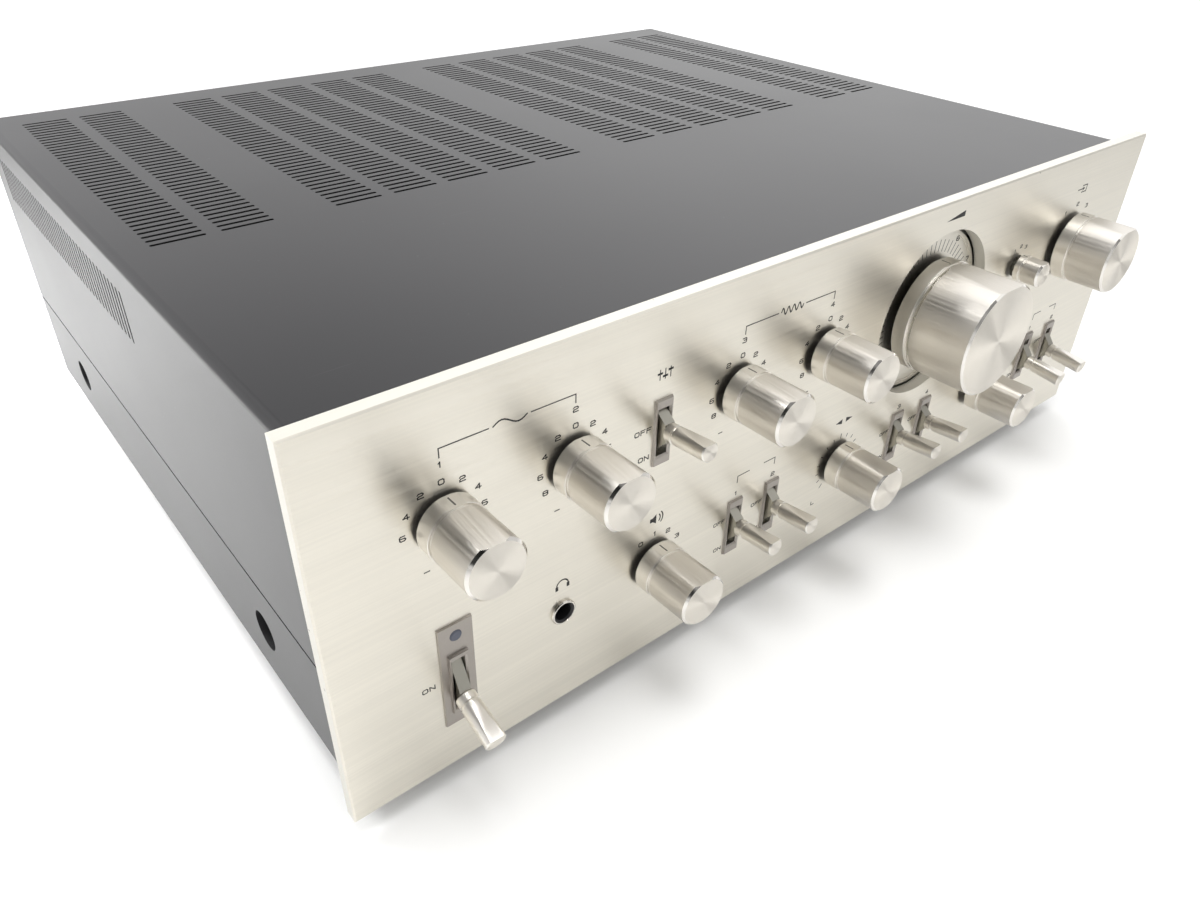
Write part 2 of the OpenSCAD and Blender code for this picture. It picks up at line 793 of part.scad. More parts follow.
// A turned foot with a well for its screw.
module foot() {
    well_r = foot_base_r / 2;
    well_h = foot_h / 2;
    edge = 1.5;
    rotate_extrude() polygon([
        [well_r, 0], [foot_base_r - edge, 0], [foot_base_r, edge], [foot_r, foot_h], [0, foot_h],
        [0, well_h], [well_r, well_h]
    ]);
}

module feet() {
    color(black_colour) for (side = [-1, 1], d = [foot_front, case_d - foot_rear])
        translate([side * (case_w / 2 - foot_side), face_y + d, 0]) foot();
}

// A pan-head screw whose head stands on the plane of its seat, with its shank below.
module screw() {
    crown = screw_head_h / 2;
    difference() {
        rotate_extrude() polygon([
            [0, -screw_shank_l], [screw_shank_r, -screw_shank_l], [screw_shank_r, 0], [screw_head_r, 0],
            [screw_head_r, crown], [screw_head_r - crown, screw_head_h], [0, screw_head_h]
        ]);
        for (turn = [0, 90]) rotate([0, 0, turn])
            translate([crown - screw_head_r, -screw_slot_half, crown])
                cube([2 * (screw_head_r - crown), 2 * screw_slot_half, screw_head_h]);
    }
}

module chassis_screws() {
    color(steel_colour) {
        at_cups() translate([0, 0, cup_depth]) rotate([180, 0, 0]) screw();
        for (at = rear_screws()) on_rear(at) screw();
    }
}

// Inside

module at_core() {
    translate([core_x, face_y + core_front + coil_bulge + core_stack / 2, stand_h + floor_z]) children();
}

module transformer_core() {
    foot_w = core_w + 2 * core_foot;
    color(tray_colour) at_core() difference() {
        rotate([90, 0, 0]) translate([0, 0, -core_stack / 2]) linear_extrude(core_stack) union() {
            difference() {
                translate([-core_w / 2, 0]) square([core_w, core_h]);
                for (side = [-1, 1])
                    translate([side * limb_w - limb_w / 2, (core_h - window_h) / 2])
                        square([limb_w, window_h]);
            }
            translate([-foot_w / 2, 0]) square([foot_w, core_foot_t]);
        }
    }
}

module transformer_coil() {
    outer_w = 3 * limb_w - 2 * coil_gap;
    coil_h = window_h - 2 * coil_gap;
    corner = 6;
    color(brass_colour) at_core() translate([0, 0, (core_h - window_h) / 2 + coil_gap]) difference() {
        linear_extrude(coil_h) {
            square([outer_w - 2 * corner, core_stack + 2 * coil_bulge], center = true);
            square([outer_w, core_stack + 2 * coil_bulge - 2 * corner], center = true);
            for (sx = [-1, 1], sy = [-1, 1])
                translate([sx * (outer_w / 2 - corner), sy * (core_stack / 2 + coil_bulge - corner)])
                    circle(corner);
        }
        translate([0, 0, -eps]) linear_extrude(coil_h + 2 * eps)
            square([limb_w + 2 * coil_gap, core_stack + 2 * coil_gap], center = true);
    }
}

module filter_capacitors() {
    neck_r = can_r - can_bead_r;
    bead_z = can_h - can_bead_drop;
    color(black_colour) for (x = can_x)
        translate([x, face_y + can_front, stand_h + floor_z]) rotate_extrude() polygon([
            [0, 0], [can_r, 0], [can_r, bead_z - can_bead_r], [neck_r, bead_z],
            [can_r, bead_z + can_bead_r], [can_r, can_h - can_bead_r], [neck_r, can_h], [0, can_h]
        ]);
}

// One finned extrusion, its plate on the plane x = 0 and its fins towards +X.
module heat_sink() {
    fin_pitch = (sink_l - fin_t) / (fin_count - 1);
    linear_extrude(sink_h) {
        square([sink_t, sink_l]);
        for (i = [0 : fin_count - 1])
            translate([sink_t - eps, i * fin_pitch]) square([fin_l + eps, fin_t]);
    }
}

module heat_sinks() {
    color(black_colour) for (side = [0, 1])
        mirror([side, 0, 0]) translate([sink_x, face_y + sink_front, stand_h + floor_z]) heat_sink();
}

// A metal-can transistor: a flange with two ears, and its cap.
module transistor() {
    linear_extrude(transistor_flange) {
        circle(transistor_r);
        polygon([[-transistor_ear, 0], [0, -transistor_r], [transistor_ear, 0], [0, transistor_r]]);
    }
    cylinder(r = transistor_cap_r, h = transistor_flange + transistor_cap_h);
}

module power_transistors() {
    color(steel_colour) for (side = [0, 1], place = transistor_places)
        mirror([side, 0, 0])
            translate([sink_x, face_y + sink_front + place * sink_l, stand_h + floor_z + transistor_rise])
                rotate([0, -90, 0]) transistor();
}

// A board on its posts, with rows of parts standing on it.
module board(x, front, w, l, part_r, part_h) {
    part_pitch = l / (board_rows + 1);
    translate([x, face_y + front, stand_h + floor_z + post_h]) {
        translate([-w / 2, 0, 0]) cube([w, l, board_t]);
        for (i = [1 : board_rows], sx = [-1, 1])
            translate([sx * w / 5, i * part_pitch, board_t / 2]) cylinder(r = part_r, h = part_h);
    }
}

module amplifier_board() {
    color(board_colour)
        board(0, amp_board_front, amp_board_w, amp_board_l, amp_part_r, amp_part_h);
}

module equalizer_board() {
    color(board_colour)
        board(equalizer_x, equalizer_front, equalizer_w, equalizer_l, equalizer_part_r, equalizer_part_h);
}

// Rotary controls

// The body of a control behind the sub-panel, with its bushing, its lugs and the bore for its shaft.
module control_body(at, body_r, body_l, axle_r, nose_d) {
    on_front(at) difference() {
        union() {
            translate([0, 0, -mount_d - body_l]) cylinder(r = body_r, h = body_l);
            translate([0, 0, -mount_d - eps])
                cylinder(r = axle_r + bushing_wall, h = mount_d + eps - nose_d);
            for (i = [-1 : 1])
                translate([i * 2 * lug_w - lug_w / 2, -body_r - lug_l, -mount_d - body_l / 2])
                    cube([lug_w, lug_l + body_r / 2, lug_t]);
        }
        translate([0, 0, -mount_d - shaft_seat - shaft_end_gap])
            cylinder(r = axle_r + run_fit, h = mount_d + shaft_seat + eps + shaft_end_gap);
    }
}

module rotary_controls() {
    nose = sub_front - nut_t - bushing_nose;
    color(steel_colour) {
        for (at = pots_at) control_body(at, pot_r, pot_l, shaft_r, nose);
        for (at = switches_at) control_body(at, wafer_r, wafer_l, shaft_r, nose);
        control_body(load_at, pot_r, pot_l, load_shaft_r, nose);
        control_body(volume_at, volume_body_r, volume_body_l, shaft_r, nose - sub_gap);
    }
}

// A hexagon nut whose seat lies at seat_d behind the front of the panel.
module control_nut(at, r, hole_r, seat_d) {
    on_front(at) translate([0, 0, -seat_d]) difference() {
        cylinder(r = r, h = nut_t, $fn = 6);
        translate([0, 0, -eps]) cylinder(r = hole_r + run_fit, h = nut_t + 2 * eps);
    }
}

module control_nuts() {
    color(brass_colour) {
        for (at = concat(pots_at, switches_at)) control_nut(at, nut_r, bushing_r, sub_front);
        control_nut(load_at, load_nut_r, load_bushing_r, sub_front);
        control_nut(volume_at, nut_r, bushing_r, panel_t);
    }
}

// The scale plate clamped under the volume control's nut, with its pressed rim.
module volume_dial() {
    rim_w = 1.6;
    rim_h = 0.4;
    dial_r = recess_r - dial_gap;
    color(panel_colour) on_front(volume_at) difference() {
        translate([0, 0, -sub_front]) cylinder(r = dial_r, h = sub_gap);
        translate([0, 0, -panel_t - rim_h]) difference() {
            cylinder(r = dial_r - rim_w, h = rim_h + eps);
            translate([0, 0, -eps]) cylinder(r = volume_well_r, h = rim_h + 3 * eps);
        }
        translate([0, 0, -sub_front - eps]) cylinder(r = bushing_r + seat_fit, h = sub_gap + 2 * eps);
    }
}

// A turned knob from base to reach: skirt, groove and barrel on one profile, a flat that deepens
// towards the end, a shallow flat with the pointer slit on the skirt, and a D-shaped bore.
module turned_knob(at, r, base, reach, skirt, axle_r) {
    barrel_r = r - barrel_step;
    groove_r = barrel_r - groove_depth;
    groove_z = base + skirt;
    barrel_z = groove_z + groove_w;
    groove_mid = groove_z + groove_w / 2;
    skirt_flat = barrel_r - flat_depth / 2;
    color(knob_colour) on_front(at) difference() {
        rotate_extrude() polygon([
            [0, base], [r - rim_bevel / 2, base], [r, base + rim_bevel / 2],
            [r, groove_z], [groove_r, groove_z], [groove_r, barrel_z], [barrel_r, barrel_z],
            [barrel_r, reach - rim_bevel], [barrel_r - rim_bevel, reach], [0, reach]
        ]);
        translate([-r, barrel_r - flat_depth, groove_mid]) rotate([flat_slope, 0, 0])
            cube([2 * r, r, reach]);
        translate([-r, skirt_flat, base - eps]) cube([2 * r, r, groove_mid - base + eps]);
        translate([-pointer_w / 2, skirt_flat - pointer_depth, base - eps])
            cube([pointer_w, r, skirt + eps]);
        translate([0, 0, base - eps]) linear_extrude(reach - knob_wall - base + eps)
            shaft_section(axle_r + run_fit, shaft_flat * axle_r / shaft_r + run_fit);
        children();
    }
}

// The shaft of a control: round in its bushing, with a flat inside the knob.
module control_shaft(at, axle_r, base, reach) {
    color(steel_colour) on_front(at) union() {
        translate([0, 0, -mount_d - shaft_seat])
            cylinder(r = axle_r, h = mount_d + shaft_seat + base - eps);
        translate([0, 0, -mount_d]) linear_extrude(mount_d + reach - knob_wall - shaft_end_gap)
            shaft_section(axle_r, shaft_flat * axle_r / shaft_r);
    }
}

module small_knob(at) {
    turned_knob(at, knob_r, knob_gap, knob_reach, skirt_l, shaft_r);
}

module small_shaft(at) {
    control_shaft(at, shaft_r, knob_gap, knob_reach);
}

module bass_low_knob() {
    small_knob(bass_low_at);
}

module bass_low_shaft() {
    small_shaft(bass_low_at);
}

module bass_high_knob() {
    small_knob(bass_high_at);
}

module bass_high_shaft() {
    small_shaft(bass_high_at);
}

module treble_low_knob() {
    small_knob(treble_low_at);
}

module treble_low_shaft() {
    small_shaft(treble_low_at);
}

module treble_high_knob() {
    small_knob(treble_high_at);
}

module treble_high_shaft() {
    small_shaft(treble_high_at);
}

module balance_knob() {
    small_knob(balance_at);
}

module balance_shaft() {
    small_shaft(balance_at);
}

module speaker_knob() {
    small_knob(speaker_at);
}

module speaker_shaft() {
    small_shaft(speaker_at);
}

module mode_knob() {
    small_knob(mode_at);
}

module mode_shaft() {
    small_shaft(mode_at);
}

module input_knob() {
    turned_knob(input_at, input_knob_r, knob_gap, knob_reach, skirt_l, shaft_r);
}

module input_shaft() {
    small_shaft(input_at);
}

module load_knob() {
    turned_knob(load_at, load_knob_r, knob_gap, load_reach, load_skirt_l, load_shaft_r);
}

module load_shaft() {
    control_shaft(load_at, load_shaft_r, knob_gap, load_reach);
}

// The volume knob starts inside the recess, is hollow round the nut under it, and has a second groove.
module volume_knob() {
    second_groove_z = skirt_l - volume_sink + 2 * groove_w;
    groove_r = volume_knob_r - barrel_step - groove_depth;
    turned_knob(volume_at, volume_knob_r, -volume_sink, volume_reach, skirt_l, shaft_r) {
        translate([0, 0, -volume_sink - eps]) cylinder(r = volume_well_r, h = volume_well + eps);
        translate([0, 0, second_groove_z]) rotate_extrude()
            translate([groove_r, 0]) square([volume_knob_r, groove_w / 2]);
    }
}

module volume_shaft() {
    control_shaft(volume_at, shaft_r, volume_well - volume_sink, volume_reach);
}

// Levers

// A lever's own frame: origin on the pivot, -Y along the handle, turned by tilt about X.
module on_lever(at, tilt) {
    translate([at.x, face_y + pivot_depth, stand_h + at.y]) rotate([tilt, 0, 0]) children();
}

// The flat plate of a lever with its pivot pin, the tail into the switch and the stem for the handle.
module lever_plate(at, tilt, half) {
    neck = lever_neck;
    shoulder = neck - (half - bat_neck);
    color(bat_colour) on_lever(at, tilt) {
        along_x(bat_t) polygon([
            [-neck, -bat_neck], [-neck, bat_neck], [-shoulder, half], [-shoulder / 2, half],
            [0, lever_hub_r], [lever_hub_r, tail_half], [tail_end, tail_half],
            [tail_end, -tail_half], [lever_hub_r, -tail_half], [0, -lever_hub_r],
            [-shoulder / 2, -half], [-shoulder, -half]
        ]);
        rotate([0, 90, 0]) cylinder(r = pin_r, h = 2 * (cheek_x + cheek_t), center = true);
        translate([0, eps - neck, 0]) rotate([90, 0, 0]) cylinder(r = stem_r, h = stem_l + eps);
    }
}

// A turned handle with a groove near its base and a flat that widens towards its end.
module lever_handle(at, tilt, r, l) {
    collar = 2.8;
    groove = 0.35;
    bevel = 0.35;
    taper = 0.25;
    flat_tilt = 3;
    color(knob_colour) on_lever(at, tilt) translate([0, -lever_neck, 0]) rotate([90, 0, 0]) difference() {
        rotate_extrude() polygon([
            [0, 0], [r - taper - bevel, 0], [r - taper, bevel], [r - taper, collar],
            [r - taper - groove, collar], [r - taper - groove, collar + 2 * groove],
            [r - taper, collar + 2 * groove], [r, l - bevel], [r - bevel, l], [0, l]
        ]);
        translate([-r, r - taper, collar + 2 * groove]) rotate([flat_tilt, 0, 0]) cube([2 * r, r, l]);
        translate([0, 0, -eps]) cylinder(r = stem_r + run_fit, h = stem_l + shaft_end_gap + eps);
    }
}

// Frame and body of a lever switch: two cheeks behind the sub-panel, bored for the pivot pin, and a
// slot in the body for the lever's tail.
module switch_frame(at, half) {
    depth = mount_d + switch_well;
    bar_w = 2 * (cheek_x + cheek_t);
    color(steel_colour) difference() {
        union() {
            for (side = [-1, 1])
                panel_box([at.x + side * (cheek_x + cheek_t / 2), at.y], [cheek_t, 2 * half], mount_d,
                    depth + eps);
            panel_box(at, [max(bar_w, switch_body_w), 2 * half], depth, depth + switch_body_l);
        }
        translate([at.x, face_y + pivot_depth, stand_h + at.y]) rotate([0, 90, 0])
            cylinder(r = pin_r + run_fit, h = bar_w + eps, center = true);
        panel_box(at, [2 * cheek_x, tail_slot_h], depth - eps, pivot_depth + tail_end + tail_clear);
    }
}

module lever_switches() {
    for (at = levers_at) switch_frame(at, switch_half);
    switch_frame(power_at, power_switch_half);
}

// The slot of an escutcheon whose front lies at the given height, wider at its mouth by the bevel.
module bevelled_slot(h, front) {
    translate([-slot_w / 2, -h / 2, -eps]) cube([slot_w, h, front + 2 * eps]);
    mirror([0, 0, 1]) drafted_block(slot_w + 2 * frame_bevel, h + 2 * frame_bevel,
        -front, frame_bevel - front, frame_bevel);
}

// A drafted frame round a lever's slot.
module escutcheon(at) {
    on_front(at) difference() {
        drafted_block(frame_w, frame_h, 0, frame_proud, frame_draft);
        bevelled_slot(slot_h, frame_proud);
    }
}

// The power switch has a plate behind its frame, with the lamp's hole above.

module power_escutcheon() {
    front = power_plate_t + frame_proud;
    lift = power_plate_z - power_z;
    on_front(power_at) difference() {
        union() {
            translate([0, lift, 0])
                drafted_block(power_plate_w, power_plate_h, 0, power_plate_t, frame_draft / 2);
            drafted_block(frame_w, frame_h, 0, front, frame_draft);
        }
        bevelled_slot(power_slot_h, front);
        translate([0, lamp_rise, -eps]) cylinder(r = lamp_r + run_fit, h = front + eps);
    }
}

module lever_escutcheons() {
    color(frame_colour) {
        for (at = levers_at) escutcheon(at);
        power_escutcheon();
    }
}

module power_lamp() {
    dome = 0.4;
    color(lamp_colour) on_front(lamp_at) rotate_extrude() polygon([
        [0, -mount_d], [lamp_r, -mount_d], [lamp_r, power_plate_t],
        [lamp_r - dome, power_plate_t + dome], [0, power_plate_t + dome]
    ]);
}

module headphone_jack() {
    tube_r = jack_r + bushing_wall;
    body_w = 15;
    end_wall = 2;
    chamfer = 0.6;
    color(black_colour) on_front(jack_at) difference() {
        union() {
            cylinder(r = jack_ring_r, h = jack_ring_t);
            translate([0, 0, -mount_d - eps]) cylinder(r = tube_r, h = mount_d + 2 * eps);
            translate([-body_w / 2, -body_w / 2, -mount_d - jack_body_l])
                cube([body_w, body_w, jack_body_l]);
        }
        translate([0, 0, end_wall - mount_d - jack_body_l])
            cylinder(r = jack_r, h = mount_d + jack_body_l);
        translate([0, 0, jack_ring_t - chamfer])
            cylinder(r1 = jack_r, r2 = jack_r + 2 * chamfer, h = 2 * chamfer);
    }
}

// Rear fittings

// A phono socket: hexagon flange on the panel, nickel sleeve with its pin hole, thread behind.
module input_jack() {
    difference() {
        union() {
            cylinder(r = input_flange_r, h = input_flange_h, $fn = 6);
            cylinder(r = input_sleeve_r, h = input_sleeve_h);
            translate([0, 0, -thread_l]) cylinder(r = input_thread_r, h = thread_l + eps);
        }
        translate([0, 0, input_sleeve_h - input_pin_depth])
            cylinder(r = input_pin_r, h = input_pin_depth + eps);
    }
}

// The ground post: a knurled nut on its thread.
module ground_post() {
    translate([0, 0, -thread_l]) cylinder(r = ground_thread_r, h = thread_l + ground_post_l);
    cylinder(r = ground_flange_r, h = ground_flange_h);
    cylinder(r = ground_nut_r, h = ground_nut_h);
}

module input_jacks() {
    color(steel_colour) {
        for (at = inputs_at()) on_rear(at) input_jack();
        on_rear(ground_at) ground_post();
    }
}

// A round head that grows from just under its seat.
module cylinder_on(r, z, h) {
    translate([0, 0, z - eps]) cylinder(r = r, h = h + eps);
}

// A barrier strip: moulded base with a fence between neighbours, and a screw in every bay.
module speaker_terminals() {
    strip_w = terminal_count * terminal_pitch + fence_t;
    reach = terminal_reach + rear_inset;
    color(black_colour) on_rear([terminal_x, rear_fittings_z]) union() {
        translate([-strip_w / 2, -terminal_h / 2, 0]) cube([strip_w, terminal_h, terminal_base]);
        for (i = [0 : terminal_count])
            translate([(i - terminal_count / 2) * terminal_pitch - fence_t / 2, -terminal_h / 2, 0])
                cube([fence_t, terminal_h, reach]);
        for (i = [0 : terminal_count - 1])
            translate([(i - (terminal_count - 1) / 2) * terminal_pitch, 0, -thread_l]) {
                cylinder(r = terminal_screw_r, h = thread_l + terminal_base);
                cylinder_on(terminal_head_r, thread_l + terminal_base, terminal_head_h);
            }
    }
}

// The gland for the supply cord: a collar on the rear panel with its neck through it.
module cord_bushing() {
    bevel = cord_collar_h / 2;
    color(black_colour) on_rear(bushing_at) rotate_extrude() polygon([
        [cord_bore_r, -thread_l], [cord_neck_r, -thread_l], [cord_neck_r, 0], [bushing_collar_r, 0],
        [bushing_collar_r, bevel], [bushing_collar_r - bevel, cord_collar_h], [cord_bore_r, cord_collar_h]
    ]);
}

module power_lever() {
    lever_plate(power_at, power_tilt, power_bat_half);
}

module power_handle() {
    lever_handle(power_at, power_tilt, power_handle_r, power_handle_l);
}

module tone_lever() {
    lever_plate(tone_at, -lever_tilt, bat_half);
}

module tone_handle() {
    lever_handle(tone_at, -lever_tilt, handle_r, handle_l);
}

module low_filter_lever() {
    lever_plate(low_filter_at, -lever_tilt, bat_half);
}

module low_filter_handle() {
    lever_handle(low_filter_at, -lever_tilt, handle_r, handle_l);
}

module high_filter_lever() {
    lever_plate(high_filter_at, -lever_tilt, bat_half);
}

module high_filter_handle() {
    lever_handle(high_filter_at, -lever_tilt, handle_r, handle_l);
}

module loudness_lever() {
    lever_plate(loudness_at, -lever_tilt, bat_half);
}

module loudness_handle() {
    lever_handle(loudness_at, -lever_tilt, handle_r, handle_l);
}

module muting_lever() {
    lever_plate(muting_at, -lever_tilt, bat_half);
}

module muting_handle() {
    lever_handle(muting_at, -lever_tilt, handle_r, handle_l);
}

module monitor_1_lever() {
    lever_plate(monitor_1_at, lever_tilt, bat_half);
}

module monitor_1_handle() {
    lever_handle(monitor_1_at, lever_tilt, handle_r, handle_l);
}

module monitor_2_lever() {
    lever_plate(monitor_2_at, lever_tilt, bat_half);
}

module monitor_2_handle() {
    lever_handle(monitor_2_at, lever_tilt, handle_r, handle_l);
}

faceplate();
top_cover();
bottom_tray();
front_chassis();
rear_panel();
feet();
chassis_screws();
transformer_core();
transformer_coil();
heat_sinks();
power_transistors();
filter_capacitors();
amplifier_board();
equalizer_board();
rotary_controls();
control_nuts();
lever_switches();
lever_escutcheons();
power_lamp();
headphone_jack();
volume_dial();
input_jacks();
speaker_terminals();
cord_bushing();
bass_low_knob();
bass_low_shaft();
bass_high_knob();
bass_high_shaft();
treble_low_knob();
treble_low_shaft();
treble_high_knob();
treble_high_shaft();
volume_knob();
volume_shaft();
balance_knob();
balance_shaft();
speaker_knob();
speaker_shaft();
load_knob();
load_shaft();
input_knob();
input_shaft();
mode_knob();
mode_shaft();
power_lever();
power_handle();
tone_lever();
tone_handle();
low_filter_lever();
low_filter_handle();
high_filter_lever();
high_filter_handle();
loudness_lever();
loudness_handle();
muting_lever();
muting_handle();
monitor_1_lever();
monitor_1_handle();
monitor_2_lever();
monitor_2_handle();
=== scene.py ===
"""Looks of a stereo amplifier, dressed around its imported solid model."""
import json
import logging
import math
from dataclasses import dataclass, field, replace
from enum import Enum
from typing import Optional, Sequence, Union

import bmesh
import bpy
from mathutils import Matrix, Vector


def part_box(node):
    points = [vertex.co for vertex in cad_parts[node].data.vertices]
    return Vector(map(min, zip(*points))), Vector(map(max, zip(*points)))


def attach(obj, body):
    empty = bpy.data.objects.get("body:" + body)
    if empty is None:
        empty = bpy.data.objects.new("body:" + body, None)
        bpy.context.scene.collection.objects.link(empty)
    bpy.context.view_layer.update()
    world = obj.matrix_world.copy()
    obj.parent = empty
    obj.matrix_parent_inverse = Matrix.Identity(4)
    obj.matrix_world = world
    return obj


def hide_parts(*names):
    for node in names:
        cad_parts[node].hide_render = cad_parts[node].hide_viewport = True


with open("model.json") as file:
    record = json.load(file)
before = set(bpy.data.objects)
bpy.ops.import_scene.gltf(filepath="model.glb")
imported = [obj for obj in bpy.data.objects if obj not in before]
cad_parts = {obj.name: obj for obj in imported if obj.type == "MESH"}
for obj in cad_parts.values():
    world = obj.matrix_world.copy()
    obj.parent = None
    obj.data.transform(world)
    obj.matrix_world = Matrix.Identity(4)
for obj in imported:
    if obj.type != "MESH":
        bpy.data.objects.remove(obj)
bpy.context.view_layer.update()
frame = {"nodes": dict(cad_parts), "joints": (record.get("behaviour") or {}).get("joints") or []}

LOG = logging.getLogger("amplifier")

MM = 0.001
QUARTER_TURN = 0.25
SMOOTH_DEG = 30.0
BEVEL_DEG = 32.0
CHASSIS = "chassis"
WHITE = (1.0, 1.0, 1.0)

Vec = tuple[float, float, float]
Colour = tuple[float, float, float]
Point = tuple[float, float]
Shape = bmesh.types.BMesh
Socket = bpy.types.NodeSocket
Feed = Union[float, Vec, Colour, Socket]
Key = Union[int, str]


class Side(Enum):
    """The way an outer face of the case looks."""

    FRONT = -1
    REAR = 1


class Rest(Enum):
    """Tilt of a lever at rest, in degrees; positive is handle down."""

    UP = -6.0
    DOWN = 6.0
    POWER_DOWN = 18.5


class Mixed(Enum):
    """What a mix node mixes: its data type, its first input and its output."""

    NUMBER = ("FLOAT", 2, 0)
    COLOUR = ("RGBA", 6, 2)


class Zone(Enum):
    """Zones of a turned aluminium piece, in the order of its material slots."""

    POLISHED = 0
    SATIN = 1
    SPUN = 2
    SKIRT = 3
    # Black back of a knob: painted shade under the knob.
    BACK = 4


# Finishes


class NodeGraph:
    """A small writer for one node tree."""

    def __init__(self, tree: bpy.types.NodeTree) -> None:
        """Keep the tree and empty it."""
        self.tree = tree
        tree.nodes.clear()

    def add(self, kind: str, feeds: Optional[dict[Key, Feed]] = None, **values: object) -> bpy.types.Node:
        """Add a node.

        Args:
            kind: Type of the node, without the ShaderNode prefix.
            feeds: Sockets and constants for its inputs.
            values: Properties to set on the node.

        Returns:
            The new node.
        """
        node = self.tree.nodes.new("ShaderNode" + kind)
        for name, value in values.items():
            setattr(node, name, value)
        for key, value in (feeds or {}).items():
            self.feed(value, node.inputs[key])
        return node

    def feed(self, value: Feed, target: Socket) -> None:
        """Join an output to an input, or set a constant on it.

        Args:
            value: Socket, number, vector or colour.
            target: Input to feed.
        """
        if isinstance(value, Socket):
            self.tree.links.new(value, target)
        else:
            target.default_value = (*value, 1.0) if target.type == "RGBA" else value

    def math(self, operation: str, first: Feed, second: Feed = 0.0, clamp: bool = False) -> Socket:
        """Add a math node fed by sockets or numbers, and give its output."""
        return self.add("Math", {0: first, 1: second}, operation=operation, use_clamp=clamp).outputs[0]

    def ramp(self, source: Socket, low: float, high: float, at_low: float = 0.0,
             at_high: float = 1.0) -> Socket:
        """Map a range of a value smoothly onto another range."""
        feeds = {"Value": source, "From Min": low, "From Max": high, "To Min": at_low, "To Max": at_high}
        return self.add("MapRange", feeds, interpolation_type="SMOOTHSTEP").outputs["Result"]

    def noise(self, vector: Socket, scale: float, detail: float = 3.0) -> Socket:
        """Add a noise texture and give its value."""
        return self.add("TexNoise", {"Vector": vector, "Scale": scale, "Detail": detail}).outputs["Fac"]

    def stretched(self, vector: Socket, factors: Vec) -> Socket:
        """Scale coordinates along each axis."""
        return self.add("VectorMath", {0: vector, 1: factors}, operation="MULTIPLY").outputs[0]

    def mix(self, kind: Mixed, factor: Socket, first: Feed, second: Feed) -> Socket:
        """Mix two numbers or two colours; the factor is the share of the second."""
        data_type, start, out = kind.value
        feeds = {0: factor, start: first, start + 1: second}
        return self.add("Mix", feeds, data_type=data_type).outputs[out]

    def axes(self, vector: Socket) -> Sequence[Socket]:
        """Split a vector into X, Y and Z."""
        return self.add("SeparateXYZ", {0: vector}).outputs

    def mirrored(self, rays: bpy.types.Node) -> Socket:
        """Give 1 for a ray that is mirrored or passed on, or else 0."""
        glossy, passed = (rays.outputs[f"Is {kind} Ray"] for kind in ("Glossy", "Transmission"))
        return self.math("ADD", glossy, passed, clamp=True)

    def show(self, shader: bpy.types.Node, kind: str = "OutputMaterial") -> None:
        """Join a shader to the tree's output."""
        self.add(kind, {"Surface": shader.outputs[0]})

    def bump(self, height: Socket, strength: float, distance: float) -> Socket:
        """Add a bump, its height in metres, and give the bumped normal."""
        feeds = {"Strength": strength, "Distance": distance, "Height": height}
        return self.add("Bump", feeds).outputs["Normal"]


def shade(colour: Colour, factor: float) -> Colour:
    """Scale a linear colour."""
    return tuple(min(1.0, c * factor) for c in colour)


@dataclass(frozen=True)
class Finish:
    """A surface finish with a mottled colour and roughness."""

    name: str
    colour: Colour
    roughness: float = 0.5
    metallic: float = 0.0
    mottle: float = 0.12
    grain: float = 900.0
    bump: float = 0.05
    bump_height: float = 0.00002

    def material(self) -> bpy.types.Material:
        """Build the material, once per name.

        Returns:
            The material.
        """
        look = f"look_{self.name}"
        known = bpy.data.materials.get(look)
        if known:
            return known
        material = bpy.data.materials.new(look)
        material.use_nodes = True
        graph = NodeGraph(material.node_tree)
        shader = graph.add("BsdfPrincipled")
        shader.inputs["Metallic"].default_value = self.metallic
        graph.show(shader)
        self.write(graph, shader)
        return material

    def mottled(self, graph: NodeGraph, factor: Socket) -> Socket:
        """Vary the colour from a darker one to a paler one."""
        darker, paler = shade(self.colour, 1 - self.mottle), shade(self.colour, 1 + self.mottle)
        return graph.mix(Mixed.COLOUR, factor, darker, paler)

    def write(self, graph: NodeGraph, shader: bpy.types.Node) -> None:
        """Write the finish into the shader.

        Args:
            graph: Writer of the material's nodes.
            shader: The material's shader.
        """
        place = graph.add("TexCoord").outputs["Object"]
        colour = self.mottled(graph, graph.noise(place, self.grain / 30))
        self.surface(graph, shader, colour, graph.noise(place, self.grain), 0.2, 0.1)

    def surface(self, graph: NodeGraph, shader: bpy.types.Node, colour: Socket, lines: Socket, reach: float,
                spread: float) -> None:
        """Feed the shader's colour, roughness and bump.

        Args:
            graph: Writer of the material's nodes.
            shader: The material's shader.
            colour: Base colour.
            lines: Noise that the roughness and the bump follow.
            reach: Reach of the noise about its middle.
            spread: Share by which the roughness varies.
        """
        rough, smooth = self.roughness * (1 + spread), self.roughness * (1 - spread)
        graph.feed(colour, shader.inputs["Base Color"])
        graph.feed(graph.ramp(lines, 0.5 - reach, 0.5 + reach, smooth, rough), shader.inputs["Roughness"])
        graph.feed(graph.bump(lines, self.bump, self.bump_height), shader.inputs["Normal"])


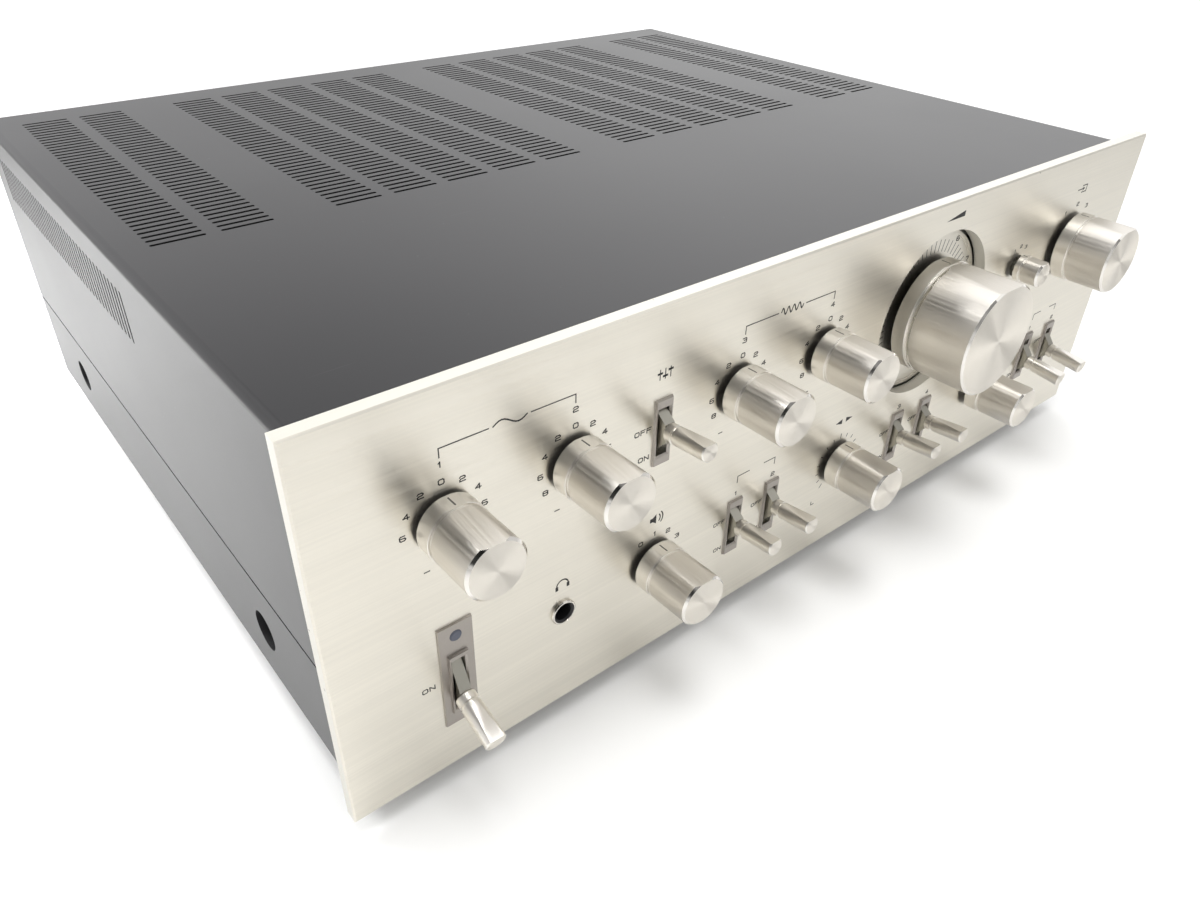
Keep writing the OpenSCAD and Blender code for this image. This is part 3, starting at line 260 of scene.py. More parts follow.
@dataclass(frozen=True)
class BrushedPanel(Finish):
    """Aluminium brushed along X, with light handling marks and worn edges."""

    anisotropy: float = 0.7
    brush: Vec = (10.0, 1400.0, 1400.0)
    streak: Vec = (3.0, 160.0, 160.0)
    patch: float = 14.0
    chip: float = 420.0
    wear: float = 0.0016
    worn_shade: float = 0.25
    edge_colour: Colour = (0.80, 0.775, 0.70)
    edge_matt: float = 0.75
    half_w: float = 0.21
    low: float = 0.0093
    high: float = 0.150

    def write(self, graph: NodeGraph, shader: bpy.types.Node) -> None:
        """Write brush lines, marks and worn edges."""
        place = graph.add("TexCoord").outputs["Object"]
        lines = graph.noise(graph.stretched(place, self.brush), 1.0, 4.0)
        streaks = graph.noise(graph.stretched(place, self.streak), 1.0, 2.0)
        cloud = graph.noise(place, self.patch, 4.0)
        x, _, z = graph.axes(place)
        side = graph.math("SUBTRACT", self.half_w, graph.math("ABSOLUTE", x))
        lower = graph.math("SUBTRACT", z, self.low)
        upper = graph.math("SUBTRACT", self.high, z)
        edge = graph.math("MINIMUM", side, graph.math("MINIMUM", lower, upper))
        chips = graph.math("ADD", graph.noise(place, self.chip, 2.0), graph.math("MULTIPLY", cloud, 0.35))
        near = graph.ramp(edge, 0.0, self.wear, 1.0, 0.0)
        worn = graph.math("MULTIPLY", near, graph.ramp(chips, 0.92, 0.97, 0.0, 0.7), clamp=True)
        broad = graph.math("ADD", graph.math("MULTIPLY", streaks, 0.3), graph.math("MULTIPLY", cloud, 0.2))
        tone = graph.math("ADD", broad, graph.math("MULTIPLY", lines, 0.5))
        base = self.mottled(graph, graph.ramp(tone, 0.36, 0.64))
        _, slope, _ = graph.axes(graph.add("TexCoord").outputs["Normal"])
        sawn = graph.ramp(graph.math("ABSOLUTE", slope), 0.2, 0.6, 1.0, 0.0)
        face = graph.mix(Mixed.COLOUR, sawn, base, self.edge_colour)
        colour = graph.mix(Mixed.COLOUR, worn, face, shade(self.colour, self.worn_shade))
        self.surface(graph, shader, colour, lines, 0.2, 0.15)
        bare = graph.math("SUBTRACT", self.metallic, graph.math("MULTIPLY", sawn, self.edge_matt))
        graph.feed(bare, shader.inputs["Metallic"])
        shader.inputs["Anisotropic"].default_value = self.anisotropy
        graph.feed(graph.add("CombineXYZ", {2: 1.0}).outputs[0], shader.inputs["Tangent"])


@dataclass(frozen=True)
class TurnedMetal(Finish):
    """Metal turned about Y: fine rings on faces, or fine lines along the axis."""

    anisotropy: float = 0.0
    rings: float = 0.0
    axial_lines: float = 0.0
    line_spread: float = 0.06
    patch: float = 160.0

    def write(self, graph: NodeGraph, shader: bpy.types.Node) -> None:
        """Write rings or lines, and their stretched gloss."""
        place = graph.add("TexCoord").outputs["Object"]
        across, along, up = graph.axes(place)
        square = graph.math("ADD", graph.math("MULTIPLY", across, across), graph.math("MULTIPLY", up, up))
        radius = graph.math("SQRT", square)
        arc = graph.math("MULTIPLY", graph.math("ARCTAN2", up, across), radius)
        pattern = graph.add("CombineXYZ", {0: graph.math("MULTIPLY", radius, self.rings),
                                           1: graph.math("MULTIPLY", arc, self.axial_lines),
                                           2: graph.math("MULTIPLY", along, self.rings)})
        lines = graph.noise(pattern.outputs[0], 1.0, 2.0)
        colour = self.mottled(graph, graph.noise(place, self.patch))
        self.surface(graph, shader, colour, lines, 0.25, self.line_spread)
        shader.inputs["Anisotropic"].default_value = self.anisotropy
        if self.anisotropy:
            tangent = graph.add("Tangent", direction_type="RADIAL", axis="Y")
            graph.feed(tangent.outputs[0], shader.inputs["Tangent"])
            shader.inputs["Anisotropic Rotation"].default_value = QUARTER_TURN


@dataclass(frozen=True)
class CasePaint(Finish):
    """Satin enamel with faint orange peel, dust and hairline scratches; painted shade, dark and dull, on the
    walls of the slots.
    """

    patch: float = 9.0
    hair: Vec = (25.0, 900.0, 900.0)
    speck: float = 700.0
    scratches: float = 0.06
    dust: float = 0.12
    dust_colour: Colour = (0.45, 0.45, 0.46)
    ior: float = 1.5
    skin_top: float = 0.0
    skin_half_w: float = 0.0
    skin_depth: float = 0.0002
    fold_reach: float = 0.005
    slot_colour: Colour = (0.004, 0.004, 0.004)
    slot_roughness: float = 0.9

    def write(self, graph: NodeGraph, shader: bpy.types.Node) -> None:
        """Write the enamel, its dust, its scratches and the painted shade on the walls of the slots."""
        place = graph.add("TexCoord").outputs["Object"]
        peel = graph.noise(place, self.grain, 2.0)
        cloud = graph.noise(place, self.patch, 4.0)
        hairs = graph.noise(graph.stretched(place, self.hair), 1.0, 1.0)
        specks = graph.ramp(graph.noise(place, self.speck, 1.0), 0.79, 0.82, 0.0, self.dust)
        marks = graph.math("MULTIPLY", graph.ramp(hairs, 0.74, 0.78, 0.0, self.scratches),
                           graph.ramp(cloud, 0.5, 0.62))
        pale = graph.math("ADD", marks, specks, clamp=True)
        colour = graph.mix(Mixed.COLOUR, pale, self.colour, self.dust_colour)
        gloss = graph.ramp(cloud, 0.1, 0.9, self.roughness * 0.94, self.roughness * 1.06)
        # Painted shade: the walls of the slots, below the cover's outer skin and away from its fold, get a
        # near-black colour and a dull gloss.
        if self.skin_top:
            x, _, z = graph.axes(place)
            below = graph.math("SUBTRACT", self.skin_top, z)
            inward = graph.math("SUBTRACT", self.skin_half_w, graph.math("ABSOLUTE", x))
            deep = graph.ramp(graph.math("MINIMUM", below, inward), self.skin_depth / 2, self.skin_depth)
            flat = graph.ramp(graph.math("MAXIMUM", below, inward), self.fold_reach, self.fold_reach * 1.2)
            slot_shade_mask = graph.math("MULTIPLY", deep, flat)
            colour = graph.mix(Mixed.COLOUR, slot_shade_mask, colour, self.slot_colour)
            gloss = graph.mix(Mixed.NUMBER, slot_shade_mask, gloss, self.slot_roughness)
        graph.feed(colour, shader.inputs["Base Color"])
        graph.feed(gloss, shader.inputs["Roughness"])
        graph.feed(graph.bump(peel, self.bump, self.bump_height), shader.inputs["Normal"])
        shader.inputs["IOR"].default_value = self.ior


@dataclass(frozen=True)
class Finishes:
    """All finishes of the amplifier."""

    panel: Finish = BrushedPanel("panel_brushed", (0.83, 0.793, 0.705), 0.33, 1.0, 0.035, bump=0.12,
                                 bump_height=0.000006)
    dial: Finish = Finish("dial_satin", (0.76, 0.73, 0.66), 0.38, 1.0, 0.03, 1200.0, 0.05)
    satin: Finish = TurnedMetal("knob_satin", (0.79, 0.755, 0.70), 0.38, 1.0, 0.03, bump=1.0,
                                bump_height=0.00006, axial_lines=1100.0, line_spread=0.25)
    polished: Finish = TurnedMetal("knob_polished", (0.88, 0.85, 0.80), 0.06, 1.0, 0.02, bump=0.01,
                                   bump_height=0.000004, rings=3000.0)
    skirt: Finish = TurnedMetal("knob_skirt", (0.90, 0.87, 0.815), 0.33, 1.0, 0.01, bump=0.03,
                                bump_height=0.000004, axial_lines=900.0)
    spun: Finish = TurnedMetal("knob_spun", (0.90, 0.86, 0.785), 0.48, 1.0, 0.02, bump=0.01,
                               bump_height=0.000004, anisotropy=0.95, rings=5000.0)
    handle: Finish = TurnedMetal("handle_satin", (0.86, 0.83, 0.78), 0.3, 1.0, 0.02, bump=0.2,
                                 bump_height=0.000004, axial_lines=1500.0)
    case: Finish = CasePaint("case_paint", (0.03, 0.0295, 0.0315), 0.3, grain=1500.0, bump=0.003)
    escutcheon: Finish = Finish("escutcheon_satin", (0.40, 0.37, 0.34), 0.36, 1.0, 0.06, 1400.0, 0.06)
    bat: Finish = Finish("bat_satin", (0.40, 0.385, 0.335), 0.32, 1.0, 0.08, 1500.0, 0.05)
    ink: Finish = Finish("ink_black", (0.018, 0.017, 0.016), 0.55, 0.0, 0.2, 2500.0, 0.1)
    mark: Finish = Finish("pointer_grey", (0.13, 0.125, 0.12), 0.45, 0.5, 0.15, 1500.0, 0.1)
    pale_ink: Finish = Finish("ink_pale", (0.62, 0.62, 0.60), 0.6, 0.0, 0.05, 2500.0, 0.1)
    lamp: Finish = Finish("lamp_lens", (0.10, 0.11, 0.145), 0.5, 0.0, 0.1, 700.0, 0.02)
    black: Finish = Finish("moulded_black", (0.015, 0.015, 0.016), 0.42, 0.0, 0.25, 1500.0, 0.15)
    rubber: Finish = Finish("foot_rubber", (0.02, 0.02, 0.02), 0.72, 0.0, 0.3, 1100.0, 0.3)
    steel: Finish = Finish("plated_steel", (0.58, 0.57, 0.52), 0.33, 1.0, 0.12, 700.0, 0.08)
    screw: Finish = Finish("screw_black", (0.05, 0.05, 0.052), 0.38, 0.6, 0.2, 900.0, 0.1)
    nickel: Finish = Finish("nickel", (0.74, 0.71, 0.65), 0.16, 1.0, 0.05, 900.0, 0.03)
    brass: Finish = Finish("nut_brass", (0.66, 0.52, 0.27), 0.28, 1.0, 0.1, 900.0, 0.06)
    copper: Finish = Finish("coil_wrap", (0.34, 0.17, 0.06), 0.5, 0.0, 0.25, 500.0, 0.3)
    core: Finish = Finish("core_varnish", (0.04, 0.04, 0.045), 0.4, 0.2, 0.3, 1200.0, 0.3)
    sink: Finish = Finish("sink_anodised", (0.02, 0.02, 0.021), 0.45, 0.6, 0.2, 1200.0, 0.15)
    sleeve: Finish = Finish("can_sleeve", (0.03, 0.035, 0.06), 0.3, 0.0, 0.15, 700.0, 0.06)
    board: Finish = Finish("board_laminate", (0.30, 0.19, 0.08), 0.5, 0.0, 0.2, 600.0, 0.1)
    red: Finish = Finish("insert_red", (0.32, 0.03, 0.025), 0.4, 0.0, 0.1, 900.0, 0.06)
    white: Finish = Finish("insert_white", (0.68, 0.66, 0.60), 0.42, 0.0, 0.06, 900.0, 0.06)


def dress(finish: Finish, *nodes: str) -> None:
    """Give solids of the model a finish.

    Args:
        finish: Finish to give.
        nodes: Names of the solids.
    """
    for name in nodes:
        slots = frame["nodes"][name].data.materials
        slots.clear()
        slots.append(finish.material())
        LOG.info("dressed %s with %s", name, finish.name)


# Places on the front and rear


@dataclass(frozen=True)
class Face:
    """An outer face with its own axes, in millimetres: x from the middle, z from the panel's lower edge."""

    y: float
    low: float
    side: Side

    @classmethod
    def of(cls, node: str, side: Side) -> "Face":
        """Read the face of a solid on one side of the case."""
        low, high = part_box(node)
        return cls(low.y if side is Side.FRONT else high.y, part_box("faceplate")[0].z, side)

    def matrix(self, x: float, z: float) -> Matrix:
        """Axes at a place on the face: X across, Y up and Z out of the face, in millimetres.

        Args:
            x: Distance from the middle of the amplifier.
            z: Height above the panel's lower edge.

        Returns:
            The matrix from those axes to the frame.
        """
        out = self.side.value
        turn = Matrix(((-out, 0, 0), (0, 0, out), (0, 1, 0))).to_4x4()
        return Matrix.Translation((x * MM, self.y, self.low + z * MM)) @ turn @ Matrix.Scale(MM, 4)

    def place_of(self, joint: str) -> Point:
        """Read where a joint's axis meets the face."""
        spot = joint_of(joint)["pos_m"]
        return spot[0] / MM, (spot[2] - self.low) / MM

    def middle_of(self, node: str) -> Point:
        """Read where the middle of a solid stands on the face."""
        low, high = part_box(node)
        return (low.x + high.x) / 2 / MM, ((low.z + high.z) / 2 - self.low) / MM


def joint_of(name: str) -> dict:
    """Read a joint's row in the frame."""
    return next(j for j in frame["joints"] if j["name"] == name)


def add_object(name: str, data: bpy.types.ID) -> bpy.types.Object:
    """Add an object to the scene.

    Args:
        name: Name of the object.
        data: Its mesh, lamp or camera.

    Returns:
        The object.
    """
    thing = bpy.data.objects.new(name, data)
    bpy.context.scene.collection.objects.link(thing)
    return thing


def add_piece(name: str, shape: Shape, body: str, *finishes: Finish, place: Optional[Matrix] = None,
              slot: str = "", stands_for: str = "", broken_edge: float = 0.0) -> None:
    """Add a piece that rides on a body.

    Args:
        name: Name of the piece.
        shape: Its shape, which is freed.
        body: Body that carries it.
        finishes: One finish per material slot.
        place: Where the shape's origin stands, if not at the frame's.
        slot: Material slot of the record that fits the piece; not used.
        stands_for: Solid that the piece replaces.
        broken_edge: Width of its broken edges, in metres.
    """
    bmesh.ops.recalc_face_normals(shape, faces=shape.faces[:])
    mesh = bpy.data.meshes.new(name)
    shape.to_mesh(mesh)
    shape.free()
    mesh.polygons.foreach_set("use_smooth", [True] * len(mesh.polygons))
    mesh.set_sharp_from_angle(angle=math.radians(SMOOTH_DEG))
    for finish in finishes:
        mesh.materials.append(finish.material())
    piece = add_object(name, mesh)
    if place is not None:
        piece.matrix_world = place
    if broken_edge:
        bevel = piece.modifiers.new("broken_edges", "BEVEL")
        bevel.width = broken_edge
        bevel.segments = 2
        bevel.limit_method = "ANGLE"
        bevel.angle_limit = math.radians(BEVEL_DEG)
        bevel.harden_normals = True
    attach(piece, body)
    if stands_for:
        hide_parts(stands_for)
    LOG.info("built %s on %s", name, body)


# Printing

# Strokes of plain figures and letters in a cell of unit width and height.
BOWL = [(0.2, 0), (0.8, 0), (1, 0.2), (1, 0.38), (0.8, 0.54), (0, 0.54)]
RING = [(0.2, 0), (0.8, 0), (1, 0.2), (1, 0.8), (0.8, 1), (0.2, 1), (0, 0.8), (0, 0.2), (0.2, 0)]
STROKES: dict[str, list[list[Point]]] = {
    "0": [RING],
    "1": [[(0, 0.75), (0.6, 1), (0.6, 0)]],
    "2": [[(0, 0.8), (0.2, 1), (0.8, 1), (1, 0.82), (1, 0.66), (0.8, 0.52), (0.2, 0.46), (0, 0.3), (0, 0),
           (1, 0)]],
    "3": [[(0, 1), (0.8, 1), (1, 0.84), (1, 0.68), (0.82, 0.53), (0.3, 0.53)],
          [(0.82, 0.53), (1, 0.38), (1, 0.16), (0.8, 0), (0, 0)]],
    "4": [[(0.72, 0), (0.72, 1), (0, 0.3), (1, 0.3)]],
    "5": [[(1, 1), (0, 1), (0, 0.56), (0.8, 0.56), (1, 0.4), (1, 0.18), (0.8, 0), (0, 0)]],
    "6": [[(0.9, 1), (0.2, 1), (0, 0.8), (0, 0.2), *BOWL]],
    "7": [[(0, 1), (1, 1), (0.4, 0)]],
    "8": [[(0, 0.54), (0, 0.2), *BOWL],
          [(0.2, 0.54), (0, 0.7), (0, 0.84), (0.2, 1), (0.8, 1), (1, 0.84), (1, 0.7), (0.8, 0.54)]],
    "9": [[(0.1, 0), (0.8, 0), (1, 0.2), (1, 0.8), *[(1 - x, 1 - y) for x, y in BOWL]]],
    "O": [RING],
    "N": [[(0, 0), (0, 1), (1, 0), (1, 1)]],
    "F": [[(0, 0), (0, 1), (1, 1)], [(0, 0.52), (0.8, 0.52)]],
    "L": [[(0, 1), (0, 0), (1, 0)]],
    "R": [[(0, 0), (0, 1), (0.8, 1), (1, 0.84), (1, 0.64), (0.8, 0.5), (0, 0.5)], [(0.55, 0.5), (1, 0)]],
    "+": [[(0.5, 0.05), (0.5, 0.95)], [(0.05, 0.5), (0.95, 0.5)]],
    "-": [[(0.05, 0.5), (0.95, 0.5)]],
}


def polar(radius: float, angle: float) -> Point:
    """Find a point on a circle; the angle runs clockwise from the top, in degrees."""
    turn = math.radians(angle)
    return radius * math.sin(turn), radius * math.cos(turn)


def arc(radius: float, start: float, end: float, steps: int = 16) -> list[Point]:
    """Find points on an arc; angles run clockwise from the top, in degrees."""
    return [polar(radius, start + (end - start) * i / steps) for i in range(steps + 1)]


def wave(cycles: int, length: float = 11.0, height: float = 1.2) -> list[Point]:
    """Find points on a wave about its middle."""
    steps = 12 * cycles
    return [(length * (i / steps - 0.5), height * math.sin(2 * math.pi * cycles * i / steps))
            for i in range(steps + 1)]


def add_prism(shape: Shape, outline: Sequence[Point], low: float, high: float,
              axes: Matrix = Matrix()) -> None:
    """Add a filled outline between two heights.

    Args:
        shape: Shape to add to.
        outline: Corners in order.
        low: Height of the lower face.
        high: Height of the upper face.
        axes: Axes of the outline, with heights along Z.
    """
    floor = [shape.verts.new(axes @ Vector((x, y, low))) for x, y in outline]
    roof = [shape.verts.new(axes @ Vector((x, y, high))) for x, y in outline]
    shape.faces.new(roof)
    shape.faces.new(floor[::-1])
    for i in range(len(outline)):
        j = (i + 1) % len(outline)
        shape.faces.new((floor[i], floor[j], roof[j], roof[i]))


@dataclass
class Print:
    """Flat marks printed on a face, drawn in millimetres about a place on it."""

    name: str
    face: Face
    ink: Finish
    lift: float = -0.01
    thickness: float = 0.03
    cell_w: float = 1.1
    space_w: float = 0.5
    one_w: float = 0.4
    shape: Shape = field(default_factory=bmesh.new)

    def prism(self, outline: Sequence[Point], at: Point) -> None:
        """Add a filled outline about a place on the face."""
        add_prism(self.shape, outline, self.lift, self.lift + self.thickness, self.face.matrix(*at))

    def line(self, start: Point, end: Point, width: float, at: Point) -> None:
        """Add a straight stroke.

        Args:
            start: Start of the stroke, about the place.
            end: End of the stroke.
            width: Width of the stroke.
            at: The place on the face.
        """
        run = Vector((end[0] - start[0], end[1] - start[1])).normalized() * width / 2
        side = run.orthogonal()
        near, far = Vector(start) - run, Vector(end) + run
        self.prism([tuple(near - side), tuple(far - side), tuple(far + side), tuple(near + side)], at)

    def path(self, points: Sequence[Point], width: float, at: Point) -> None:
        """Add strokes through points about a place on the face."""
        for start, end in zip(points, points[1:]):
            self.line(start, end, width, at)

    def tick(self, angle: float, inner: float, outer: float, width: float, at: Point) -> None:
        """Add a radial stroke; the angle runs clockwise from the top, in degrees."""
        self.line(polar(inner, angle), polar(outer, angle), width, at)

    def text(self, words: str, offset: Point, height: float, at: Point, weight: float = 0.24) -> None:
        """Add plain figures or letters in strokes, centred on an offset.

        Args:
            words: Figures or letters.
            offset: Middle of the text, about the place.
            height: Height of a figure.
            at: The place on the face.
            weight: Width of a stroke against the height.
        """
        width, space = self.cell_w * height, self.space_w * height
        left = offset[0] - (len(words) * (width + space) - space) / 2
        for letter in words:
            narrow = self.one_w if letter == "1" else 1.0
            middle = left + width / 2
            for stroke in STROKES[letter]:
                points = [(middle + (x - 0.5) * width * narrow, offset[1] + (y - 0.5) * height)
                          for x, y in stroke]
                self.path(points, weight * height, at)
            left += width + space

    def dial_text(self, words: str, angle: float, radius: float, height: float, at: Point) -> None:
        """Add upright figures on a circle; the angle runs clockwise from the top, in degrees."""
        self.text(words, polar(radius, angle), height, at)

    def finish(self, slot: str = "") -> None:
        """Make the printed piece."""
        add_piece(self.name, self.shape, CHASSIS, self.ink, slot=slot)


# Front panel

# Outlines of plain symbols, in millimetres about their places.
HORN = [(-2.6, -0.8), (-1.4, -0.8), (0.2, -2.0), (0.2, 2.0), (-1.4, 0.8), (-2.6, 0.8)]
EAR_CUP = [(1.7, -1.5), (2.8, -1.5), (2.8, 0.2), (1.7, 0.2)]
ARROW = [(5.2, 0.0), (1.2, 1.1), (1.2, -1.1)]
WEDGE = [(-6.0, -1.1), (6.0, -1.1), (6.0, 1.2)]
ENTRY = [(-0.4, 1.5), (3.4, 1.5), (3.4, -1.5), (-0.4, -1.5)]
STEM = [(-4.0, 0.0), (0.4, 0.0)]
TIP = [(0.2, -0.9), (1.9, 0.0), (0.2, 0.9)]
# Three slides: place across their symbol and height of the cap.
SLIDES = [(-2.2, 0.4), (0.0, -0.8), (2.2, 0.9)]
SLIDE_HALF, CAP_HALF = 1.7, 0.7
# Two hoops side by side.
HOOP_R, HOOP_SHIFT = 1.8, 1.1
# Height of each symbol above its control.
RISES = {"tone_tilt": 21.0, "volume_turn": 40.8, "balance_turn": 19.4, "speaker_turn": 19.0,
         "input_turn": 25.5, "mode_turn": 19.0}
JACK_RISE = 11.4
# Knobs with figures: span of the tone knobs each way, and radius and first figure of the selectors.
TONE_SPANS = {"bass_low": 90, "bass_high": 120, "treble_low": 120, "treble_high": 120}
SELECTORS = {"speaker": (12.6, 0), "input": (18.6, 1), "mode": (13.0, 1)}
# Figures and words about the levers, with their places, and height of the brackets over pairs.
LEVER_FIGURES = {"low_filter": "1", "high_filter": "2", "loudness": "3", "muting": "4", "monitor_1": "1",
                 "monitor_2": "2"}
LEVER_FIGURE, LEVER_OFF, LEVER_ON = (0, 15.0), (-7.2, 4.4), (-6.7, -8.4)
LEVER_WORDS = (("tone", "OFF", (-8.0, 2.6)), ("tone", "ON", (-7.2, -7.8)), ("power", "ON", (-10.2, 2.2)))
LEVER_PAIRS = (("low_filter_tilt", "high_filter_tilt", 22.6), ("monitor_1_tilt", "monitor_2_tilt", 22.0))


@dataclass
class Fitting:
    """Something on an outer face of the case."""

    finishes: Finishes
    face: Face


@dataclass
class FrontPanel(Fitting):
    """The brushed panel and its printed scales."""

    line_w: float = 0.38
    symbol_w: float = 0.456
    slide_w: float = 0.3648
    cap_w: float = 0.7296
    figure_h: float = 1.55
    small_h: float = 1.3175
    scale_r: float = 12.8
    sign_r: float = 16.3
    sign_deg: float = 155.0
    sign_half: float = 0.8
    load_r: float = 8.8
    tick_inner: float = 11.2
    tick_outer: float = 12.4
    middle_growth: float = 0.3
    end_growth: float = 0.6
    balance_deg: int = 140
    balance_step: int = 20
    balance_letter: Point = (11.2, -16.4)
    bracket_z: float = 122.5
    bracket_drop: float = 2.8
    bracket_gap: float = 7.0
    lever_gap: float = 4.0
    number_drop: float = 5.0
    step_deg: int = 30
    scales: Print = field(init=False)

    def build(self) -> None:
        """Dress the panel and print its scales."""
        dress(self.finishes.panel, "faceplate")
        self.scales = Print("panel_scales", self.face, self.finishes.ink)
        self.tone_scales()
        self.selector_scales()
        self.lever_marks()
        self.symbols()
        self.scales.finish("black_plastic")

    def tone_scales(self) -> None:
        """Print the figures round the four tone knobs and the brackets over each pair."""
        for number, (name, span) in enumerate(TONE_SPANS.items(), start=1):
            at = self.face.place_of(f"{name}_turn")
            for turn in range(-span, span + 1, self.step_deg):
                figure = str(abs(turn) // self.step_deg * 2)
                self.scales.dial_text(figure, turn, self.scale_r, self.figure_h, at)
            for side in (-1, 1):
                x, z = polar(self.sign_r, side * self.sign_deg)
                self.scales.line((x - self.sign_half, z), (x + self.sign_half, z), self.line_w, at)
                if side > 0:
                    self.scales.line((x, z - self.sign_half), (x, z + self.sign_half), self.line_w, at)
            self.scales.text(str(number), (0, self.bracket_z - self.number_drop - at[1]), self.figure_h, at)
        self.bracket("bass_low_turn", "bass_high_turn", self.bracket_z, self.bracket_gap)
        self.bracket("treble_low_turn", "treble_high_turn", self.bracket_z, self.bracket_gap)

    def bracket(self, left: str, right: str, z: float, gap: float) -> None:
        """Print a bracket over two controls, with a gap in its middle.

        Args:
            left: Joint of the left control.
            right: Joint of the right control.
            z: Height of the bracket.
            gap: Half of the gap.
        """
        x1, x2 = self.face.place_of(left)[0], self.face.place_of(right)[0]
        mid = (x1 + x2) / 2
        for x, toward in ((x1, mid - gap), (x2, mid + gap)):
            self.scales.path([(x, -self.bracket_drop), (x, 0), (toward, 0)], self.line_w, (0, z))

    def selector_scales(self) -> None:
        """Print the figures and ticks of the selectors, the balance control and the load control."""
        for name, (radius, first) in SELECTORS.items():
            at = self.face.place_of(f"{name}_turn")
            low, high = (int(limit) for limit in joint_of(f"{name}_turn")["range_deg"])
            for figure, angle in enumerate(range(low, high + 1, self.step_deg), start=first):
                self.scales.dial_text(str(figure), angle, radius, self.figure_h, at)
        load = self.face.place_of("load_turn")
        for figure in (1, 2, 3):
            self.scales.dial_text(str(figure), (figure - 2) * self.step_deg, self.load_r, self.small_h, load)
        balance = self.face.place_of("balance_turn")
        for angle in range(-self.balance_deg, self.balance_deg + 1, self.balance_step):
            inner = self.tick_inner if angle else self.tick_inner - self.middle_growth
            outer = self.tick_outer if angle % self.balance_deg else self.tick_outer + self.end_growth
            self.scales.tick(angle, inner, outer, self.line_w, balance)
        x, z = self.balance_letter
        self.scales.text("L", (-x, z), self.figure_h, balance)
        self.scales.text("R", (x, z), self.figure_h, balance)

    def lever_marks(self) -> None:
        """Print the marks beside the levers."""
        for name, word, offset in LEVER_WORDS:
            self.scales.text(word, offset, self.figure_h, self.face.place_of(f"{name}_tilt"))
        for name, figure in LEVER_FIGURES.items():
            at = self.face.place_of(f"{name}_tilt")
            self.scales.text(figure, LEVER_FIGURE, self.figure_h, at)
            self.scales.text("OFF", LEVER_OFF, self.small_h, at)
            self.scales.text("ON", LEVER_ON, self.small_h, at)
        for left, right, rise in LEVER_PAIRS:
            self.bracket(left, right, self.face.place_of(left)[1] + rise, self.lever_gap)

    def symbols(self) -> None:
        """Print a plain symbol over each group of controls."""
        width = self.symbol_w
        for group, cycles in (("bass", 1), ("treble", 4)):
            ends = [self.face.place_of(f"{group}_{end}_turn")[0] for end in ("low", "high")]
            self.scales.path(wave(cycles), width, (sum(ends) / 2, self.bracket_z))
        spots = {}
        for joint, rise in RISES.items():
            x, z = self.face.place_of(joint)
            spots[joint] = (x, z + rise)
        tone, volume, balance, speaker, source, mode = spots.values()
        jack_x, jack_z = self.face.middle_of("headphone_jack")
        jack = (jack_x, jack_z + JACK_RISE)
        for x, cap in SLIDES:
            self.scales.line((x, -SLIDE_HALF), (x, SLIDE_HALF), self.slide_w, tone)
            self.scales.line((x - CAP_HALF, cap), (x + CAP_HALF, cap), self.cap_w, tone)
        for side in (-1, 1):
            self.scales.prism([(side * x, z) for x, z in ARROW], balance)
            self.scales.prism([(side * x, z) for x, z in EAR_CUP], jack)
            self.scales.path([(x + side * HOOP_SHIFT, z) for x, z in arc(HOOP_R, 0, 360)], width, mode)
        for outline, at in ((WEDGE, volume), (HORN, speaker), (TIP, source)):
            self.scales.prism(outline, at)
        for points, at in ((arc(2.0, 50, 130), speaker), (arc(3.2, 50, 130), speaker),
                           (arc(2.3, -90, 90), jack), (ENTRY, source), (STEM, source)):
            self.scales.path(points, width, at)


# Knobs and levers


def turned(profile: Sequence[Point], zones: Sequence[Zone] = (), facets: int = 48) -> Shape:
    """Turn a profile about the Z axis.

    Args:
        profile: Radius and height of each corner, from axis to axis or back to the first.
        zones: Zone of each stretch of the profile; all are polished if none is given.
        facets: Facets round the axis.

    Returns:
        The turned shape.
    """
    shape = bmesh.new()
    turns = [2 * math.pi * i / facets for i in range(facets)]
    rings: dict[Point, list[bmesh.types.BMVert]] = {}
    for radius, height in dict.fromkeys(profile):
        rings[radius, height] = [shape.verts.new((radius * math.cos(t), radius * math.sin(t), height))
                                 for t in (turns if radius else turns[:1])]
    for start, end, zone in zip(profile, profile[1:], zones or [Zone.POLISHED] * len(profile)):
        lower, upper = rings[start], rings[end]
        for i in range(facets):
            j = (i + 1) % facets
            corners = [ring[k % len(ring)] for ring, k in ((lower, i), (lower, j), (upper, j), (upper, i))]
            face = shape.faces.new(list(dict.fromkeys(corners)))
            face.material_index = zone.value
    return shape


def cut_flat(shape: Shape, height: float, start: float, slope: float, zone: Zone) -> None:
    """Cut a flat along a turned shape, above its axis.

    Args:
        shape: Shape to cut.
        height: Height of the flat at its start.
        start: Place of the start along the axis.
        slope: How far the flat falls towards the end, in degrees.
        zone: Zone of the new face.
    """
    turn = math.radians(slope)
    result = bmesh.ops.bisect_plane(
        shape, geom=shape.verts[:] + shape.edges[:] + shape.faces[:], dist=1e-6,
        plane_co=(0, height, start), plane_no=(0, math.cos(turn), math.sin(turn)), clear_outer=True)
    edges = [e for e in result["geom_cut"] if isinstance(e, bmesh.types.BMEdge)]
    for face in bmesh.ops.holes_fill(shape, edges=edges, sides=0)["faces"]:
        face.material_index = zone.value


def joined(*shapes: Shape) -> Shape:
    """Gather shapes into one.

    Args:
        shapes: Shapes to gather, which are freed.

    Returns:
        The gathered shape.
    """
    whole = bmesh.new()
    for shape in shapes:
        mesh = bpy.data.meshes.new("part")
        shape.to_mesh(mesh)
        shape.free()
        whole.from_mesh(mesh)
        bpy.data.meshes.remove(mesh)
    return whole


def extruded(outline: Sequence[Point], low: float, high: float) -> Shape:
    """Extrude an outline along the Z axis."""
    shape = bmesh.new()
    add_prism(shape, outline, low, high)
    return shape


